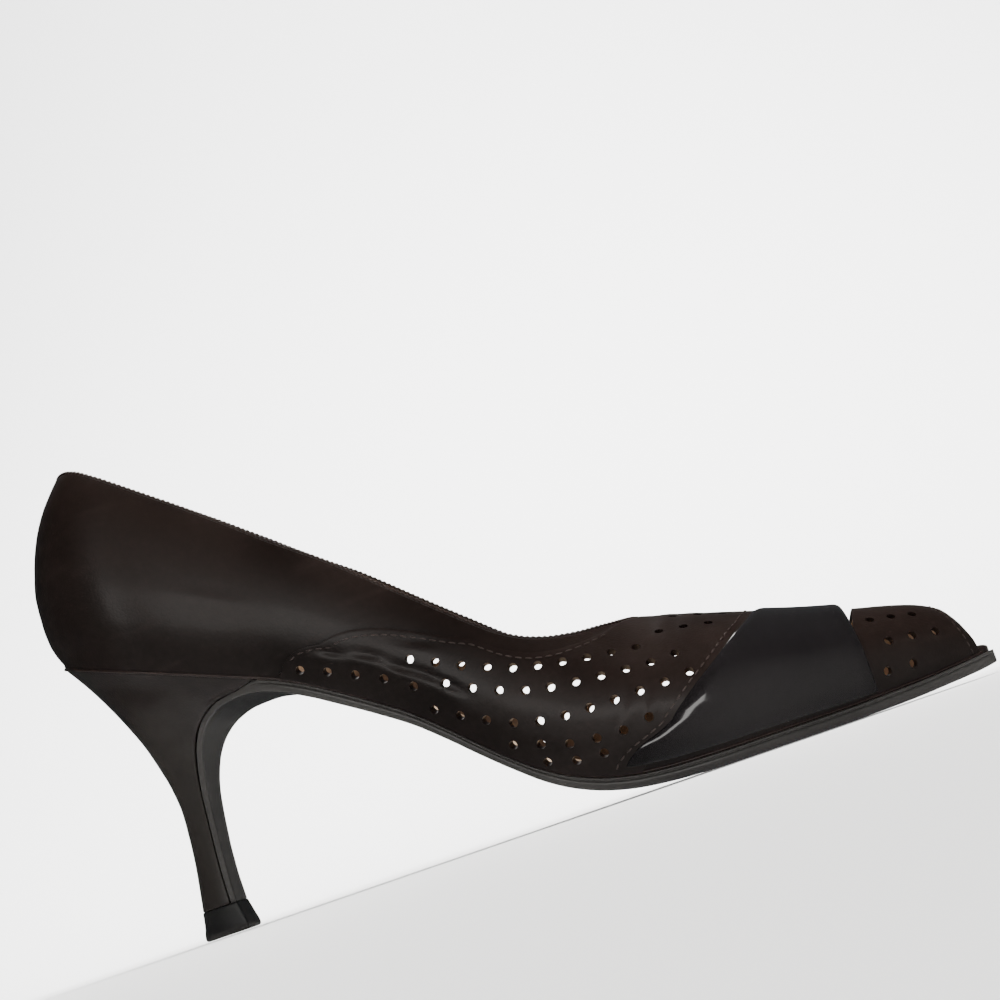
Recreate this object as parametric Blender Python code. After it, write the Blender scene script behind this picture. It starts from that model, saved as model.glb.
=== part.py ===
"""A peep toe pump for the right foot: hollow punched upper, patent band, insole, sole, heel and top piece.
All the driving sizes are in millimetres, with x counted from the middle of the heel tip towards the toe."""

import math

import bmesh
import bpy
from mathutils import Vector

MM = 0.001

# Whole shoe
SHIFT_X = -98.25
GAP = 0.3
BACK_X = -23.5
SEAT_LEAN = 2.8

# Upper
WALL = 1.6
LOW_ANGLE = 35.0
HEEL_CENTRE_X = 4.0
HEEL_FADE_X = 62.0
CENTRE_SHARE = 0.7
THROAT_X = 134.0
RIM_X = 210.0
ROWS = 10
TURN_STEPS = 9
TOE_SLIDE_X = 170.0

# Patent band
BAND_LIFT = 0.3
BAND_WALL = 1.2
BAND_FOOT = 0.06
BAND_COLUMNS = 14
BAND_ROWS = 12

# Insole and sole
INSOLE_THICK = 2.2
INSOLE_REST = 0.05
INSOLE_SLACK = 0.25
INSOLE_TIP_X = 218.8
INSOLE_TIP_NARROWING = 2.4
FLAP_THICK = 1.6
SHANK_X = 30.0
SOLE_EDGE_INSET = 0.5
SOLE_EDGE_LIFT = 0.5
ACROSS = 8

# Heel
LIFT_THICK = 7.7
HEEL_BACK_POWER = 0.85
HEEL_SIDE_POWER = 2.3

# Seat of the heel, straight from the back to the shank
SEAT = {"x": 40.0, "z": 59.4, "slope": -0.397}

# Feather line in front of the seat: x, z
FEATHER = [
    (40.0, 59.4), (47.0, 55.8), (55.0, 50.9), (63.0, 45.6), (71.5, 39.6), (79.0, 33.1), (86.5, 26.0),
    (94.0, 19.3), (101.0, 13.9), (108.0, 9.9), (116.0, 6.9), (125.0, 5.0), (136.0, 4.1), (150.0, 3.8),
    (175.0, 3.8), (195.0, 4.2), (210.0, 5.2), (220.0, 6.2),
]

# Sections of the last: x, lateral half, medial half, widest level, bulge, crest z, crest y, exponent
LAST = [
    (-24.0, 25.5, 25.5, 15.0, 2.4, 166.0, 0.0, 2.2),
    (5.0, 25.6, 25.5, 14.5, 2.6, 146.0, 0.0, 2.2),
    (20.0, 26.2, 25.4, 14.0, 2.8, 134.0, 0.0, 2.2),
    (35.0, 26.2, 24.4, 13.5, 2.9, 122.0, 0.0, 2.2),
    (50.0, 26.4, 22.6, 13.0, 3.1, 110.0, 0.0, 2.2),
    (65.0, 27.0, 21.4, 12.0, 3.3, 98.0, 0.2, 2.2),
    (80.0, 28.6, 22.2, 11.0, 3.4, 85.5, 0.5, 2.2),
    (90.0, 30.6, 24.8, 10.5, 3.2, 76.5, 0.8, 2.2),
    (100.0, 32.8, 28.2, 10.5, 3.0, 67.5, 1.0, 2.2),
    (110.0, 34.8, 31.4, 11.0, 2.8, 59.0, 1.3, 2.2),
    (120.0, 36.2, 34.0, 11.5, 2.7, 51.8, 1.6, 2.2),
    (128.0, 36.7, 35.4, 11.5, 2.6, 47.2, 1.9, 2.2),
    (134.0, 36.7, 36.1, 11.0, 2.6, 44.4, 2.1, 2.2),
    (145.0, 35.8, 36.4, 10.5, 2.5, 41.4, 2.5, 2.2),
    (153.0, 34.3, 35.9, 10.0, 2.4, 38.9, 2.9, 2.2),
    (163.0, 31.3, 34.6, 9.5, 2.3, 35.8, 3.4, 2.2),
    (175.0, 26.7, 32.0, 8.5, 2.1, 32.0, 4.1, 2.2),
    (187.0, 21.1, 28.3, 7.5, 1.9, 28.7, 4.8, 2.2),
    (198.0, 15.1, 24.0, 6.5, 1.7, 25.9, 5.6, 2.2),
    (205.0, 10.8, 20.8, 5.5, 1.5, 23.6, 6.1, 2.2),
    (210.0, 7.2, 18.0, 4.8, 1.3, 20.9, 6.5, 2.2),
    (213.0, 4.9, 16.0, 4.2, 1.1, 18.4, 6.7, 2.2),
    (215.5, 2.6, 13.9, 3.6, 0.9, 15.0, 6.9, 2.2),
    (217.5, 0.4, 11.9, 3.0, 0.7, 11.6, 7.0, 2.2),
]

# Topline seen from the side: x, z
TOPLINE = [
    (-10.0, 134.4), (-3.0, 134.0), (2.0, 132.2), (7.5, 128.6), (13.0, 124.4), (20.0, 118.9), (27.5, 113.0),
    (34.5, 107.2), (41.5, 101.4), (48.0, 95.8), (55.0, 90.2), (62.0, 84.7), (68.5, 78.9), (75.0, 72.9),
    (81.5, 67.0), (88.0, 61.2), (94.5, 55.4), (101.0, 50.3), (108.0, 46.6), (115.0, 44.7), (122.0, 44.0),
    (129.0, 44.0), (134.0, 44.4),
]

# Back curve of the quarter: height above the feather, forward lean
BACK_CURVE = [
    (0.0, 2.5), (3.0, 1.2), (6.0, 0.4), (11.0, 0.0), (18.0, 0.2), (27.0, 2.3), (35.0, 5.3), (41.5, 9.0),
    (45.5, 12.0), (49.0, 15.0), (53.0, 18.6),
]

# Rim of the peep toe: fraction of the height, x
RIM = [(0.0, 216.3), (0.3, 215.6), (0.55, 214.0), (0.8, 211.4), (1.0, 210.0), (1.2, 211.4)]

# Outer line of the sole, from the heel tip to the toe: x, z, lateral half, medial half
SOLE = [
    (6.4, 8.0, 5.6, 5.6), (6.3, 14.0, 5.4, 5.4), (6.5, 20.5, 5.3, 5.3), (7.1, 29.0, 5.7, 5.7),
    (8.1, 38.5, 6.7, 6.7), (9.8, 45.8, 8.6, 8.6), (11.5, 50.0, 10.4, 10.4), (14.0, 53.6, 12.8, 12.6),
    (17.5, 56.4, 15.4, 15.0), (22.5, 58.2, 18.4, 17.6), (28.5, 58.6, 21.3, 19.8), (34.9, 57.5, 23.7, 21.1),
    (40.5, 55.4, 25.2, 21.8), (47.0, 52.0, 26.2, 21.9), (55.0, 47.0, 26.9, 21.8), (63.0, 41.8, 27.5, 21.8),
    (71.5, 35.8, 28.2, 22.2), (79.0, 29.3, 29.2, 22.8), (86.5, 22.3, 30.6, 24.4), (94.0, 15.7, 32.2, 27.0),
    (101.0, 10.2, 33.8, 29.4), (108.0, 6.2, 35.2, 31.6), (116.0, 3.2, 36.6, 33.8), (125.0, 1.3, 37.4, 35.8),
    (136.0, 0.3, 37.6, 37.2), (146.0, 0.0, 36.7, 37.4), (156.0, 0.0, 34.5, 36.6), (166.0, 0.0, 31.3, 35.1),
    (176.0, 0.0, 27.3, 32.8), (186.0, 0.1, 22.8, 29.8), (196.0, 0.4, 17.6, 26.2), (204.0, 0.9, 12.8, 22.8),
    (210.0, 1.3, 8.6, 19.5), (214.5, 1.7, 4.8, 16.4), (217.5, 2.1, 1.6, 13.6), (219.3, 2.4, -1.6, 10.6),
    (220.0, 2.6, -4.6, 7.8),
]

# Heel: back x, back z, front x, front z, half width
HEEL = [
    (-4.9, 8.0, 4.5, 8.0, 5.7), (-4.0, 14.0, 4.4, 14.3, 5.4), (-3.1, 20.5, 4.6, 21.0, 5.3),
    (-2.4, 28.5, 5.2, 29.4, 5.7), (-2.1, 35.5, 6.0, 37.6, 6.7), (-2.8, 42.3, 7.5, 45.2, 8.6),
    (-4.3, 48.8, 9.3, 50.2, 10.6), (-6.3, 55.6, 12.2, 54.6, 13.3), (-8.9, 62.0, 16.4, 57.8, 16.6),
    (-12.2, 69.0, 22.2, 60.0, 20.4), (-16.2, 76.2, 29.0, 60.4, 23.7),
]
SEAT_FRONT_X = 34.5

# Lift: z, back x, front x, half width
LIFT = [(0.0, -6.2, 7.7, 6.2), (0.8, -6.4, 7.9, 6.4), (4.0, -5.7, 7.3, 6.1), (LIFT_THICK, -5.1, 6.5, 5.7)]

# Rear edge of the band: share of the way from the feather to the crest, x
BAND_REAR = [
    (0.0, 120.0), (0.08, 122.0), (0.16, 126.0), (0.22, 131.5), (0.29, 137.0), (0.37, 143.5), (0.48, 151.0),
    (0.59, 156.3), (0.73, 161.2), (0.88, 163.6), (1.0, 164.2), (1.12, 163.6),
]
# Front edge of the band: share, x
BAND_FRONT = [(0.0, 186.4), (0.35, 186.6), (0.7, 185.9), (1.0, 185.4), (1.3, 185.9)]

# Rows of punched holes: sides, first x, first share, last x, last share, count
LATERAL, MEDIAL, BOTH = (-1,), (1,), (-1, 1)
HOLE_ROWS = [
    (LATERAL, 77.0, 0.33, 133.0, 0.60, 10),
    (LATERAL, 84.0, 0.31, 142.0, 0.54, 10),
    (LATERAL, 98.0, 0.285, 144.0, 0.44, 8),
    (LATERAL, 103.0, 0.20, 131.0, 0.30, 5),
    (LATERAL, 103.0, 0.08, 117.5, 0.16, 3),
    (LATERAL, 48.0, 0.09, 76.0, 0.23, 5),
    (MEDIAL, 67.5, 0.301, 94.3, 0.43, 5),
    (MEDIAL, 101.1, 0.475, 129.3, 0.646, 5),
    (MEDIAL, 74.9, 0.256, 102.5, 0.407, 5),
    (MEDIAL, 109.6, 0.447, 139.0, 0.599, 5),
    (MEDIAL, 96.6, 0.285, 140.9, 0.486, 7),
    (MEDIAL, 106.5, 0.20, 134.5, 0.30, 5),
    (MEDIAL, 106.6, 0.08, 121.1, 0.16, 3),
    (MEDIAL, 48.0, 0.09, 69.0, 0.195, 4),
    (BOTH, 79.0, 0.12, 91.5, 0.24, 3),
    (BOTH, 96.0, 0.13, 96.0, 0.13, 1),
    (BOTH, 139.5, 0.69, 152.0, 0.73, 3),
    (BOTH, 143.5, 0.85, 156.0, 0.87, 3),
    (BOTH, 191.5, 0.64, 202.5, 0.66, 3),
    (BOTH, 194.0, 0.42, 206.5, 0.44, 3),
    (BOTH, 191.0, 0.20, 198.0, 0.20, 2),
]
CREST_HOLES = [(140.0, 1.0), (150.0, 1.0)]
HOLE_RADIUS = 1.2
HOLE_SIDES = 6
PUNCH_REACH = 3.0

# Slit in front of the band: rear x, depth in the middle, reach to each side, width at its ends
SLIT = {"x": 185.7, "depth": 2.8, "lateral": 26.0, "medial": 23.0, "width": 0.3}
SLIT_CUTTER = {"low": 17.0, "high": 37.0, "steps": 14}


def smooth(table, x, column=1):
    """Monotone cubic through one column of a table, held level past its ends."""
    if x <= table[0][0]:
        return table[0][column]
    if x >= table[-1][0]:
        return table[-1][column]
    i = max(k for k in range(len(table) - 1) if table[k][0] <= x)
    step = table[i + 1][0] - table[i][0]
    t = (x - table[i][0]) / step
    m0, m1 = tangent(table, i, column), tangent(table, i + 1, column)
    p0, p1 = table[i][column], table[i + 1][column]
    h00 = (1 + 2 * t) * (1 - t) ** 2
    h10 = t * (1 - t) ** 2
    h01 = t * t * (3 - 2 * t)
    h11 = t * t * (t - 1)
    return h00 * p0 + h10 * step * m0 + h01 * p1 + h11 * step * m1


def slope(table, i, column):
    return (table[i + 1][column] - table[i][column]) / (table[i + 1][0] - table[i][0])


def tangent(table, i, column):
    """Slope at a row: zero at a turning point, else the harmonic mean of both sides."""
    if i == 0:
        return slope(table, 0, column)
    if i == len(table) - 1:
        return slope(table, i - 1, column)
    a, b = slope(table, i - 1, column), slope(table, i, column)
    if a * b <= 0:
        return 0.0
    return 2 * a * b / (a + b)


def feather_z(x):
    if x <= SEAT["x"]:
        return SEAT["z"] + SEAT["slope"] * (x - SEAT["x"])
    return smooth(FEATHER, x)


def topline_angle(x, z):
    """Angle on the section at x whose height is z."""
    height = smooth(LAST, x, 3)
    crest = smooth(LAST, x, 5)
    widest = feather_z(x) + height
    if z < widest:
        return math.asin(max(-1.0, (z - widest) / height) * math.sin(math.radians(LOW_ANGLE)))
    part = min(1.0, (z - widest) / (crest - widest))
    return math.asin(part ** (smooth(LAST, x, 7) / 2))


def heel_round(x, lean):
    """Share of the full width left at x by the round of the heel."""
    centre = HEEL_CENTRE_X + CENTRE_SHARE * lean
    if x >= centre:
        return 1.0
    part = min(1.0, (centre - x) / (centre - BACK_X - lean))
    return math.sqrt(1.0 - part * part)


def last_point(x, angle, side, lean=0.0):
    """Point of the last's surface: side -1 is lateral, +1 medial."""
    column = 1 if side < 0 else 2
    height, bulge, crest, crest_y = (smooth(LAST, x, k) for k in (3, 4, 5, 6))
    power = 2 / smooth(LAST, x, 7)
    half = smooth(LAST, x, column) + bulge - side * crest_y
    widest = feather_z(x) + height
    if angle < 0:
        drop = math.sin(angle) / math.sin(math.radians(LOW_ANGLE))
        z = widest + height * drop
        y = half - bulge * drop * drop
    else:
        z = widest + (crest - widest) * math.sin(angle) ** power
        y = half * max(0.0, math.cos(angle)) ** power
    return Vector((x, crest_y + side * y * heel_round(x, lean), z))


def swept_x(station, lean):
    """Station on the round of the heel as an angle, or in front of it as an x, moved by the back's lean."""
    kind, value = station
    centre = HEEL_CENTRE_X + CENTRE_SHARE * lean
    if kind == "turn":
        return centre - (centre - BACK_X - lean) * math.sin(value)
    fade = max(0.0, (HEEL_FADE_X - value) / (HEEL_FADE_X - HEEL_CENTRE_X))
    return value + CENTRE_SHARE * lean * fade * fade


def settle(station, height_of):
    """The x and lean at which this station reaches the height that height_of gives for an x."""
    lean = 0.0
    for _ in range(30):
        x = swept_x(station, lean)
        lean += 0.5 * (smooth(BACK_CURVE, height_of(x) - feather_z(BACK_X)) - lean)
    return swept_x(station, lean), lean


def rear_column(station, share, side):
    """Point of the quarter behind the waist, at this share of the way from the feather to the topline."""
    top_x, _ = settle(station, lambda x: smooth(TOPLINE, x))
    top = smooth(TOPLINE, top_x)
    low = math.radians(LOW_ANGLE)

    def angle_at(x):
        return -low + (topline_angle(x, top) + low) * share

    x, lean = settle(station, lambda x: last_point(x, angle_at(x), 1).z)
    point = last_point(x, angle_at(x), side, lean)
    if station == ("turn", math.radians(90.0)):
        point.y = 0.0
    return point


def side_column(x_base, share, side):
    """Point of the upper in front of the heel, at this share of the way up its column."""
    if x_base < HEEL_FADE_X:
        return rear_column(("along", x_base), share, side)
    low = math.radians(LOW_ANGLE)
    slide = max(0.0, (x_base - TOE_SLIDE_X) / (RIM_X - TOE_SLIDE_X)) ** 2
    x = x_base + slide * (smooth(RIM, share) - RIM_X)
    top = math.radians(90.0)
    if x_base < THROAT_X - 1e-6:
        top = topline_angle(x_base, smooth(TOPLINE, x_base))
    return last_point(x, -low + (top + low) * share, side)


def upper_columns():
    """Stations of the upper from the heel's round to the rim."""
    rear = [HEEL_CENTRE_X + 6.6 * k for k in range(16)]
    throat = [THROAT_X - step for step in (19.0, 13.5, 9.0, 5.5, 2.8, 1.0, 0.0)]
    front = [THROAT_X + 6.4 * k for k in range(1, 11)]
    toe = [202.0, 205.5, 208.0, RIM_X]
    return [x for x in rear if x < throat[0] - 3.0] + throat + front + toe


def new_object(name, mesh_data):
    mesh = bpy.data.meshes.new(name)
    mesh_data.to_mesh(mesh)
    mesh_data.free()
    thing = bpy.data.objects.new(name, mesh)
    bpy.context.scene.collection.objects.link(thing)
    for polygon in mesh.polygons:
        polygon.use_smooth = True
    return thing


def place(point):
    return Vector(((point.x + SHIFT_X) * MM, point.y * MM, point.z * MM))


def grid_faces(body, grid):
    """Quads over a grid of vertices, leaving out the corners that fall together."""
    for a, b in zip(grid, grid[1:]):
        for j in range(len(a) - 1):
            loop = []
            for vertex in (a[j], b[j], b[j + 1], a[j + 1]):
                if vertex not in loop:
                    loop.append(vertex)
            if len(loop) > 2:
                body.faces.new(loop)


def upper_skin():
    """Outer surface of the upper: one grid per side, welded at the back seam and over the vamp."""
    body = bmesh.new()
    shares = [k / ROWS for k in range(ROWS + 1)]
    stations = upper_columns()
    for side in (-1, 1):
        grid = []
        for k in range(TURN_STEPS):
            station = ("turn", math.radians(90.0 * (1 - k / TURN_STEPS)))
            grid.append([body.verts.new(place(rear_column(station, share, side))) for share in shares])
        for x in stations:
            grid.append([body.verts.new(place(side_column(x, share, side))) for share in shares])
        grid_faces(body, grid)
    bmesh.ops.remove_doubles(body, verts=body.verts, dist=0.00002)
    bmesh.ops.recalc_face_normals(body, faces=body.faces)
    return body


def thicken(thing, thickness, outwards):
    solid = thing.modifiers.new("wall", "SOLIDIFY")
    solid.thickness = thickness * MM
    solid.offset = 1.0 if outwards else -1.0
    solid.use_even_offset = True
    solid.use_rim = True


def surface_frame(x, share, side):
    """Point of the upper's surface and its outward normal."""
    low = math.radians(LOW_ANGLE)
    angle = -low + (math.radians(90.0) + low) * share
    point = last_point(x, angle, side)
    along = last_point(x + 0.5, angle, side) - last_point(x - 0.5, angle, side)
    over = last_point(x, angle - 0.02, side) - last_point(x, angle - 0.06, side)
    normal = over.cross(along).normalized() * side
    return point, normal


def hole_places():
    """Every punched hole as a point and an outward normal."""
    found = []
    for sides, x0, share0, x1, share1, count in HOLE_ROWS:
        for k in range(count):
            part = k / max(1, count - 1)
            for side in sides:
                found.append(surface_frame(x0 + (x1 - x0) * part, share0 + (share1 - share0) * part, side))
    for x, share in CREST_HOLES:
        point, normal = surface_frame(x, share, 1)
        normal.y = 0.0
        found.append((point, normal.normalized()))
    return found


def prism(body, points, push):
    """Closed prism from a flat loop of points, pushed along a vector."""
    floor = [body.verts.new(place(p)) for p in points]
    roof = [body.verts.new(place(p + push)) for p in points]
    body.faces.new(floor)
    body.faces.new(roof)
    for j in range(len(points)):
        k = (j + 1) % len(points)
        body.faces.new((floor[j], floor[k], roof[k], roof[j]))


def punch_object():
    """Cutter for the punched holes and for the slit in front of the band."""
    body = bmesh.new()
    for point, normal in hole_places():
        first = normal.cross(Vector((0.0, 0.0, 1.0))).normalized()
        if first.length < 0.5:
            first = Vector((1.0, 0.0, 0.0))
        second = normal.cross(first).normalized()
        ring = []
        for k in range(HOLE_SIDES):
            turn = 2 * math.pi * k / HOLE_SIDES
            spoke = first * math.cos(turn) + second * math.sin(turn)
            ring.append(point - normal * PUNCH_REACH + spoke * HOLE_RADIUS)
        prism(body, ring, normal * 2 * PUNCH_REACH)
    middle = smooth(LAST, SLIT["x"], 6)
    rear, front = [], []
    for k in range(SLIT_CUTTER["steps"] + 1):
        t = -1 + 2 * k / SLIT_CUTTER["steps"]
        y = middle + t * (SLIT["lateral"] if t < 0 else SLIT["medial"])
        reach = SLIT["width"] + SLIT["depth"] * (1 - t * t)
        rear.append(Vector((SLIT["x"], y, SLIT_CUTTER["low"])))
        front.append(Vector((SLIT["x"] + reach, y, SLIT_CUTTER["low"])))
    prism(body, rear + front[::-1], Vector((0.0, 0.0, SLIT_CUTTER["high"] - SLIT_CUTTER["low"])))
    bmesh.ops.recalc_face_normals(body, faces=body.faces)
    cutter = new_object("punch_cutter", body)
    cutter.hide_render = True
    cutter.display_type = "WIRE"
    return cutter


def band_object():
    """Patent band: a grid between its two edges, lifted off the upper and thickened outwards."""
    body = bmesh.new()
    low = math.radians(LOW_ANGLE)
    for side in (-1, 1):
        grid = []
        for j in range(BAND_ROWS + 1):
            share = BAND_FOOT + (1 - BAND_FOOT) * j / BAND_ROWS
            rear, front = smooth(BAND_REAR, share), smooth(BAND_FRONT, share)
            line = []
            for k in range(BAND_COLUMNS + 1):
                x = rear + (front - rear) * k / BAND_COLUMNS
                angle = -low + (math.radians(90.0) + low) * share
                line.append(body.verts.new(place(last_point(x, angle, side))))
            grid.append(line)
        grid_faces(body, grid)
    bmesh.ops.remove_doubles(body, verts=body.verts, dist=0.00002)
    bmesh.ops.recalc_face_normals(body, faces=body.faces)
    body.normal_update()
    for vertex in body.verts:
        vertex.co += vertex.normal * BAND_LIFT * MM
    return new_object("vamp_band", body)


def slab(name, stations):
    """A closed sheet: each station gives its lower and upper lines of points across the shoe."""
    body = bmesh.new()
    rings = []
    for lower, upper in stations:
        loop = [body.verts.new(place(p)) for p in lower]
        loop += [body.verts.new(place(p)) for p in reversed(upper)]
        rings.append(loop)
    for a, b in zip(rings, rings[1:]):
        for j in range(len(a)):
            k = (j + 1) % len(a)
            body.faces.new((a[j], b[j], b[k], a[k]))
    for ring in (rings[0], rings[-1]):
        for j in range(ACROSS):
            body.faces.new((ring[j], ring[j + 1], ring[-2 - j], ring[-1 - j]))
    bmesh.ops.recalc_face_normals(body, faces=body.faces)
    return new_object(name, body)


def crosswise(x, z, lateral, medial, inset=0.0, lift=0.0):
    """Points across the shoe at one station, drawn in and lifted at both edges."""
    points = []
    for j in range(ACROSS + 1):
        part = -1 + 2 * j / ACROSS
        y = (medial - lateral) / 2 + part * ((medial + lateral) / 2 - inset)
        edge = max(0.0, abs(part) - 0.7) / 0.3
        points.append(Vector((x, y, z + lift * edge * edge)))
    return points


def sole_normal(i):
    """Unit normal of the sole's outer line at a row, pointing to its inner side."""
    a, b = SOLE[max(0, i - 1)], SOLE[min(len(SOLE) - 1, i + 1)]
    length = math.hypot(b[0] - a[0], b[1] - a[1])
    return -(b[1] - a[1]) / length, (b[0] - a[0]) / length


def sole_object():
    """Sole from the toe along the shank and down the breast of the heel."""
    stations = []
    for i, (x, z, lateral, medial) in enumerate(SOLE):
        nx, nz = sole_normal(i)
        if x < SHANK_X:
            inner_x, inner_z = x + nx * FLAP_THICK, z + nz * FLAP_THICK
        else:
            inner_x, inner_z = x, feather_z(x) - GAP
        lift = SOLE_EDGE_LIFT if x > SEAT["x"] else 0.0
        lower = crosswise(x, z, lateral, medial, SOLE_EDGE_INSET, lift)
        upper = crosswise(inner_x, inner_z, lateral, medial)
        stations.append((lower, upper))
    return slab("outsole", stations)


def heel_ring(row, sides=28):
    """D shaped loop of the heel: flat to the front and round at the back."""
    back_x, back_z, front_x, front_z, half = row
    points = []
    for j in range(sides + 1):
        turn = math.pi * j / sides
        along = 1 - math.sin(turn) ** HEEL_BACK_POWER
        width = (1 - (1 - along) ** HEEL_SIDE_POWER) ** (1 / HEEL_SIDE_POWER)
        sign = -1 if turn < math.pi / 2 else 1
        x = back_x + (front_x - back_x) * along
        z = back_z + (front_z - back_z) * along
        points.append(Vector((x, sign * half * width, z)))
    return points


def seat_ring(sides=28):
    """Top of the heel, with the outline of the feather line."""
    points = []
    back = BACK_X + SEAT_LEAN
    for j in range(sides + 1):
        turn = math.pi * j / sides
        along = 1 - math.sin(turn) ** HEEL_BACK_POWER
        x = back + (SEAT_FRONT_X - back) * along
        side = -1 if turn < math.pi / 2 else 1
        half = smooth(LAST, x, 1 if side < 0 else 2)
        y = side * half * heel_round(x, SEAT_LEAN)
        points.append(Vector((x, y, feather_z(x) - GAP)))
    return points


def heel_object():
    body = bmesh.new()
    rings = [heel_ring(row) for row in HEEL] + [seat_ring()]
    loops = [[body.verts.new(place(p)) for p in ring] for ring in rings]
    for a, b in zip(loops, loops[1:]):
        for j in range(len(a)):
            k = (j + 1) % len(a)
            body.faces.new((a[j], b[j], b[k], a[k]))
    body.faces.new(loops[0])
    body.faces.new(loops[-1])
    bmesh.ops.recalc_face_normals(body, faces=body.faces)
    return new_object("heel", body)


def lift_object():
    body = bmesh.new()
    loops = []
    for z, back, front, half in LIFT:
        ring = heel_ring((back, z, front, z, half), 24)
        loops.append([body.verts.new(place(p)) for p in ring])
    for a, b in zip(loops, loops[1:]):
        for j in range(len(a)):
            k = (j + 1) % len(a)
            body.faces.new((a[j], b[j], b[k], a[k]))
    body.faces.new(loops[0])
    body.faces.new(loops[-1])
    bmesh.ops.recalc_face_normals(body, faces=body.faces)
    return new_object("top_piece", body)


def insole_half(x, column):
    """Half width of the insole: inside the wall, and out to the sole's edge past the rim."""
    return smooth(LAST, x, column) - WALL - GAP - INSOLE_SLACK


def insole_object():
    stations = []
    back = BACK_X + SEAT_LEAN + WALL + 2 * GAP
    rear = [back + step for step in (0.0, 0.6, 1.8, 3.8, 7.0, 11.5, 17.0)]
    middle = [HEEL_CENTRE_X + 8.2 * k for k in range(26)]
    for x in rear + middle + [212.5, 215.5, 217.5, INSOLE_TIP_X]:
        lateral, medial = insole_half(x, 1), insole_half(x, 2)
        if x == INSOLE_TIP_X:
            lateral, medial = lateral - INSOLE_TIP_NARROWING, medial - INSOLE_TIP_NARROWING
        if x < HEEL_CENTRE_X:
            part = (HEEL_CENTRE_X - x) / (HEEL_CENTRE_X - back)
            share = max(0.05, math.sqrt(max(0.0, 1.0 - part * part)))
            lateral, medial = lateral * share, medial * share
        z = feather_z(x) + INSOLE_REST
        lower = crosswise(x, z, lateral, medial)
        upper = crosswise(x, z + INSOLE_THICK, lateral, medial)
        stations.append((lower, upper))
    return slab("insole", stations)


def material(name, colour, roughness):
    made = bpy.data.materials.new(name)
    made.use_nodes = True
    shader = made.node_tree.nodes["Principled BSDF"]
    shader.inputs["Base Color"].default_value = (*colour, 1.0)
    shader.inputs["Roughness"].default_value = roughness
    shader.inputs["Metallic"].default_value = 0.0
    return made


def main():
    for thing in list(bpy.data.objects):
        bpy.data.objects.remove(thing)
    upper = new_object("upper", upper_skin())
    thicken(upper, WALL, False)
    punch = upper.modifiers.new("punch", "BOOLEAN")
    punch.operation = "DIFFERENCE"
    punch.solver = "EXACT"
    punch.object = punch_object()
    band = band_object()
    thicken(band, BAND_WALL, True)
    looks = [
        (upper, "upper_leather", (0.020, 0.012, 0.010), 0.42),
        (band, "patent_leather", (0.006, 0.005, 0.005), 0.08),
        (insole_object(), "sock_lining", (0.36, 0.25, 0.16), 0.6),
        (sole_object(), "sole_leather", (0.014, 0.013, 0.014), 0.35),
        (heel_object(), "heel_cover", (0.018, 0.011, 0.009), 0.25),
        (lift_object(), "lift_rubber", (0.008, 0.008, 0.008), 0.5),
    ]
    for thing, name, colour, roughness in looks:
        thing.data.materials.append(material(name, colour, roughness))


main()
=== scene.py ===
"""The looks of the peep toe pump: leather, patent band, stitching, sole wear, lining, heel and top piece.
Sizes are in millimetres from the middle of the heel tip, as in the part's source, up to place()."""

import math

import bmesh
import bpy
from mathutils import Matrix, Vector, noise


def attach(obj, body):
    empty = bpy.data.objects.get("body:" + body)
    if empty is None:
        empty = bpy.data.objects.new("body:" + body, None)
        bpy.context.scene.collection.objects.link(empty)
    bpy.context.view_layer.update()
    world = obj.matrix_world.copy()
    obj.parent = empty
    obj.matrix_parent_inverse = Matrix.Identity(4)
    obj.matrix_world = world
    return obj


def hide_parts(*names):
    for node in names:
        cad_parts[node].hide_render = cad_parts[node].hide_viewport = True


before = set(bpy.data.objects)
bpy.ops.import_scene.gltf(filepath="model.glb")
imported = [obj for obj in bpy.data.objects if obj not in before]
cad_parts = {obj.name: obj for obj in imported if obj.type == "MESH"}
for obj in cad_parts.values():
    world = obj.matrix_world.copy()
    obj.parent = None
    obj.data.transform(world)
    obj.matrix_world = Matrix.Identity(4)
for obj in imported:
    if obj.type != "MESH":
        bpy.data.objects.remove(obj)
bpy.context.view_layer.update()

MM = 0.001
SHIFT_X = -98.25
LOW_ANGLE = math.radians(35.0)
FULL_ANGLE = math.radians(90.0)
CRISP_ANGLE = math.radians(38.0)

# Sizes of the last and of the pieces
BACK_X = -23.5
SEAT_LEAN = 2.8
HEEL_CENTRE_X = 4.0
HEEL_FADE_X = 62.0
CENTRE_SHARE = 0.7
THROAT_X = 134.0
RIM_X = 210.0
TOE_SLIDE_X = 170.0
WALL = 1.6
GAP = 0.3
BAND_LIFT = 0.3
BAND_WALL = 1.2
INSOLE_THICK = 2.2
FLAP_THICK = 1.6
HEEL_BACK_POWER = 0.85
HEEL_SIDE_POWER = 2.3
SEAT = {"x": 40.0, "z": 59.4, "slope": -0.397}

# Insole: rest on the feather, slack to the lining, round and thin tip, bed in the sole, bare lip
INSOLE_REST = 0.05
SOCK_SLACK = 0.05
INSOLE_TIP_X = 218.8
INSOLE_TIP_NARROWING = 2.4
INSOLE_TIP_ROUND = 1.5
INSOLE_TIP_THIN = {"length": 3.0, "by": 0.5}
INSOLE_BED = {"x": 200.0, "length": 8.0}
INSOLE_LIP_X = 213.0
# Rise under the heel and hollow under the ball: height, x, reach
SOCK_SWELLS = [(0.9, 8.0, 20.0), (-0.35, 150.0, 22.0)]

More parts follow.
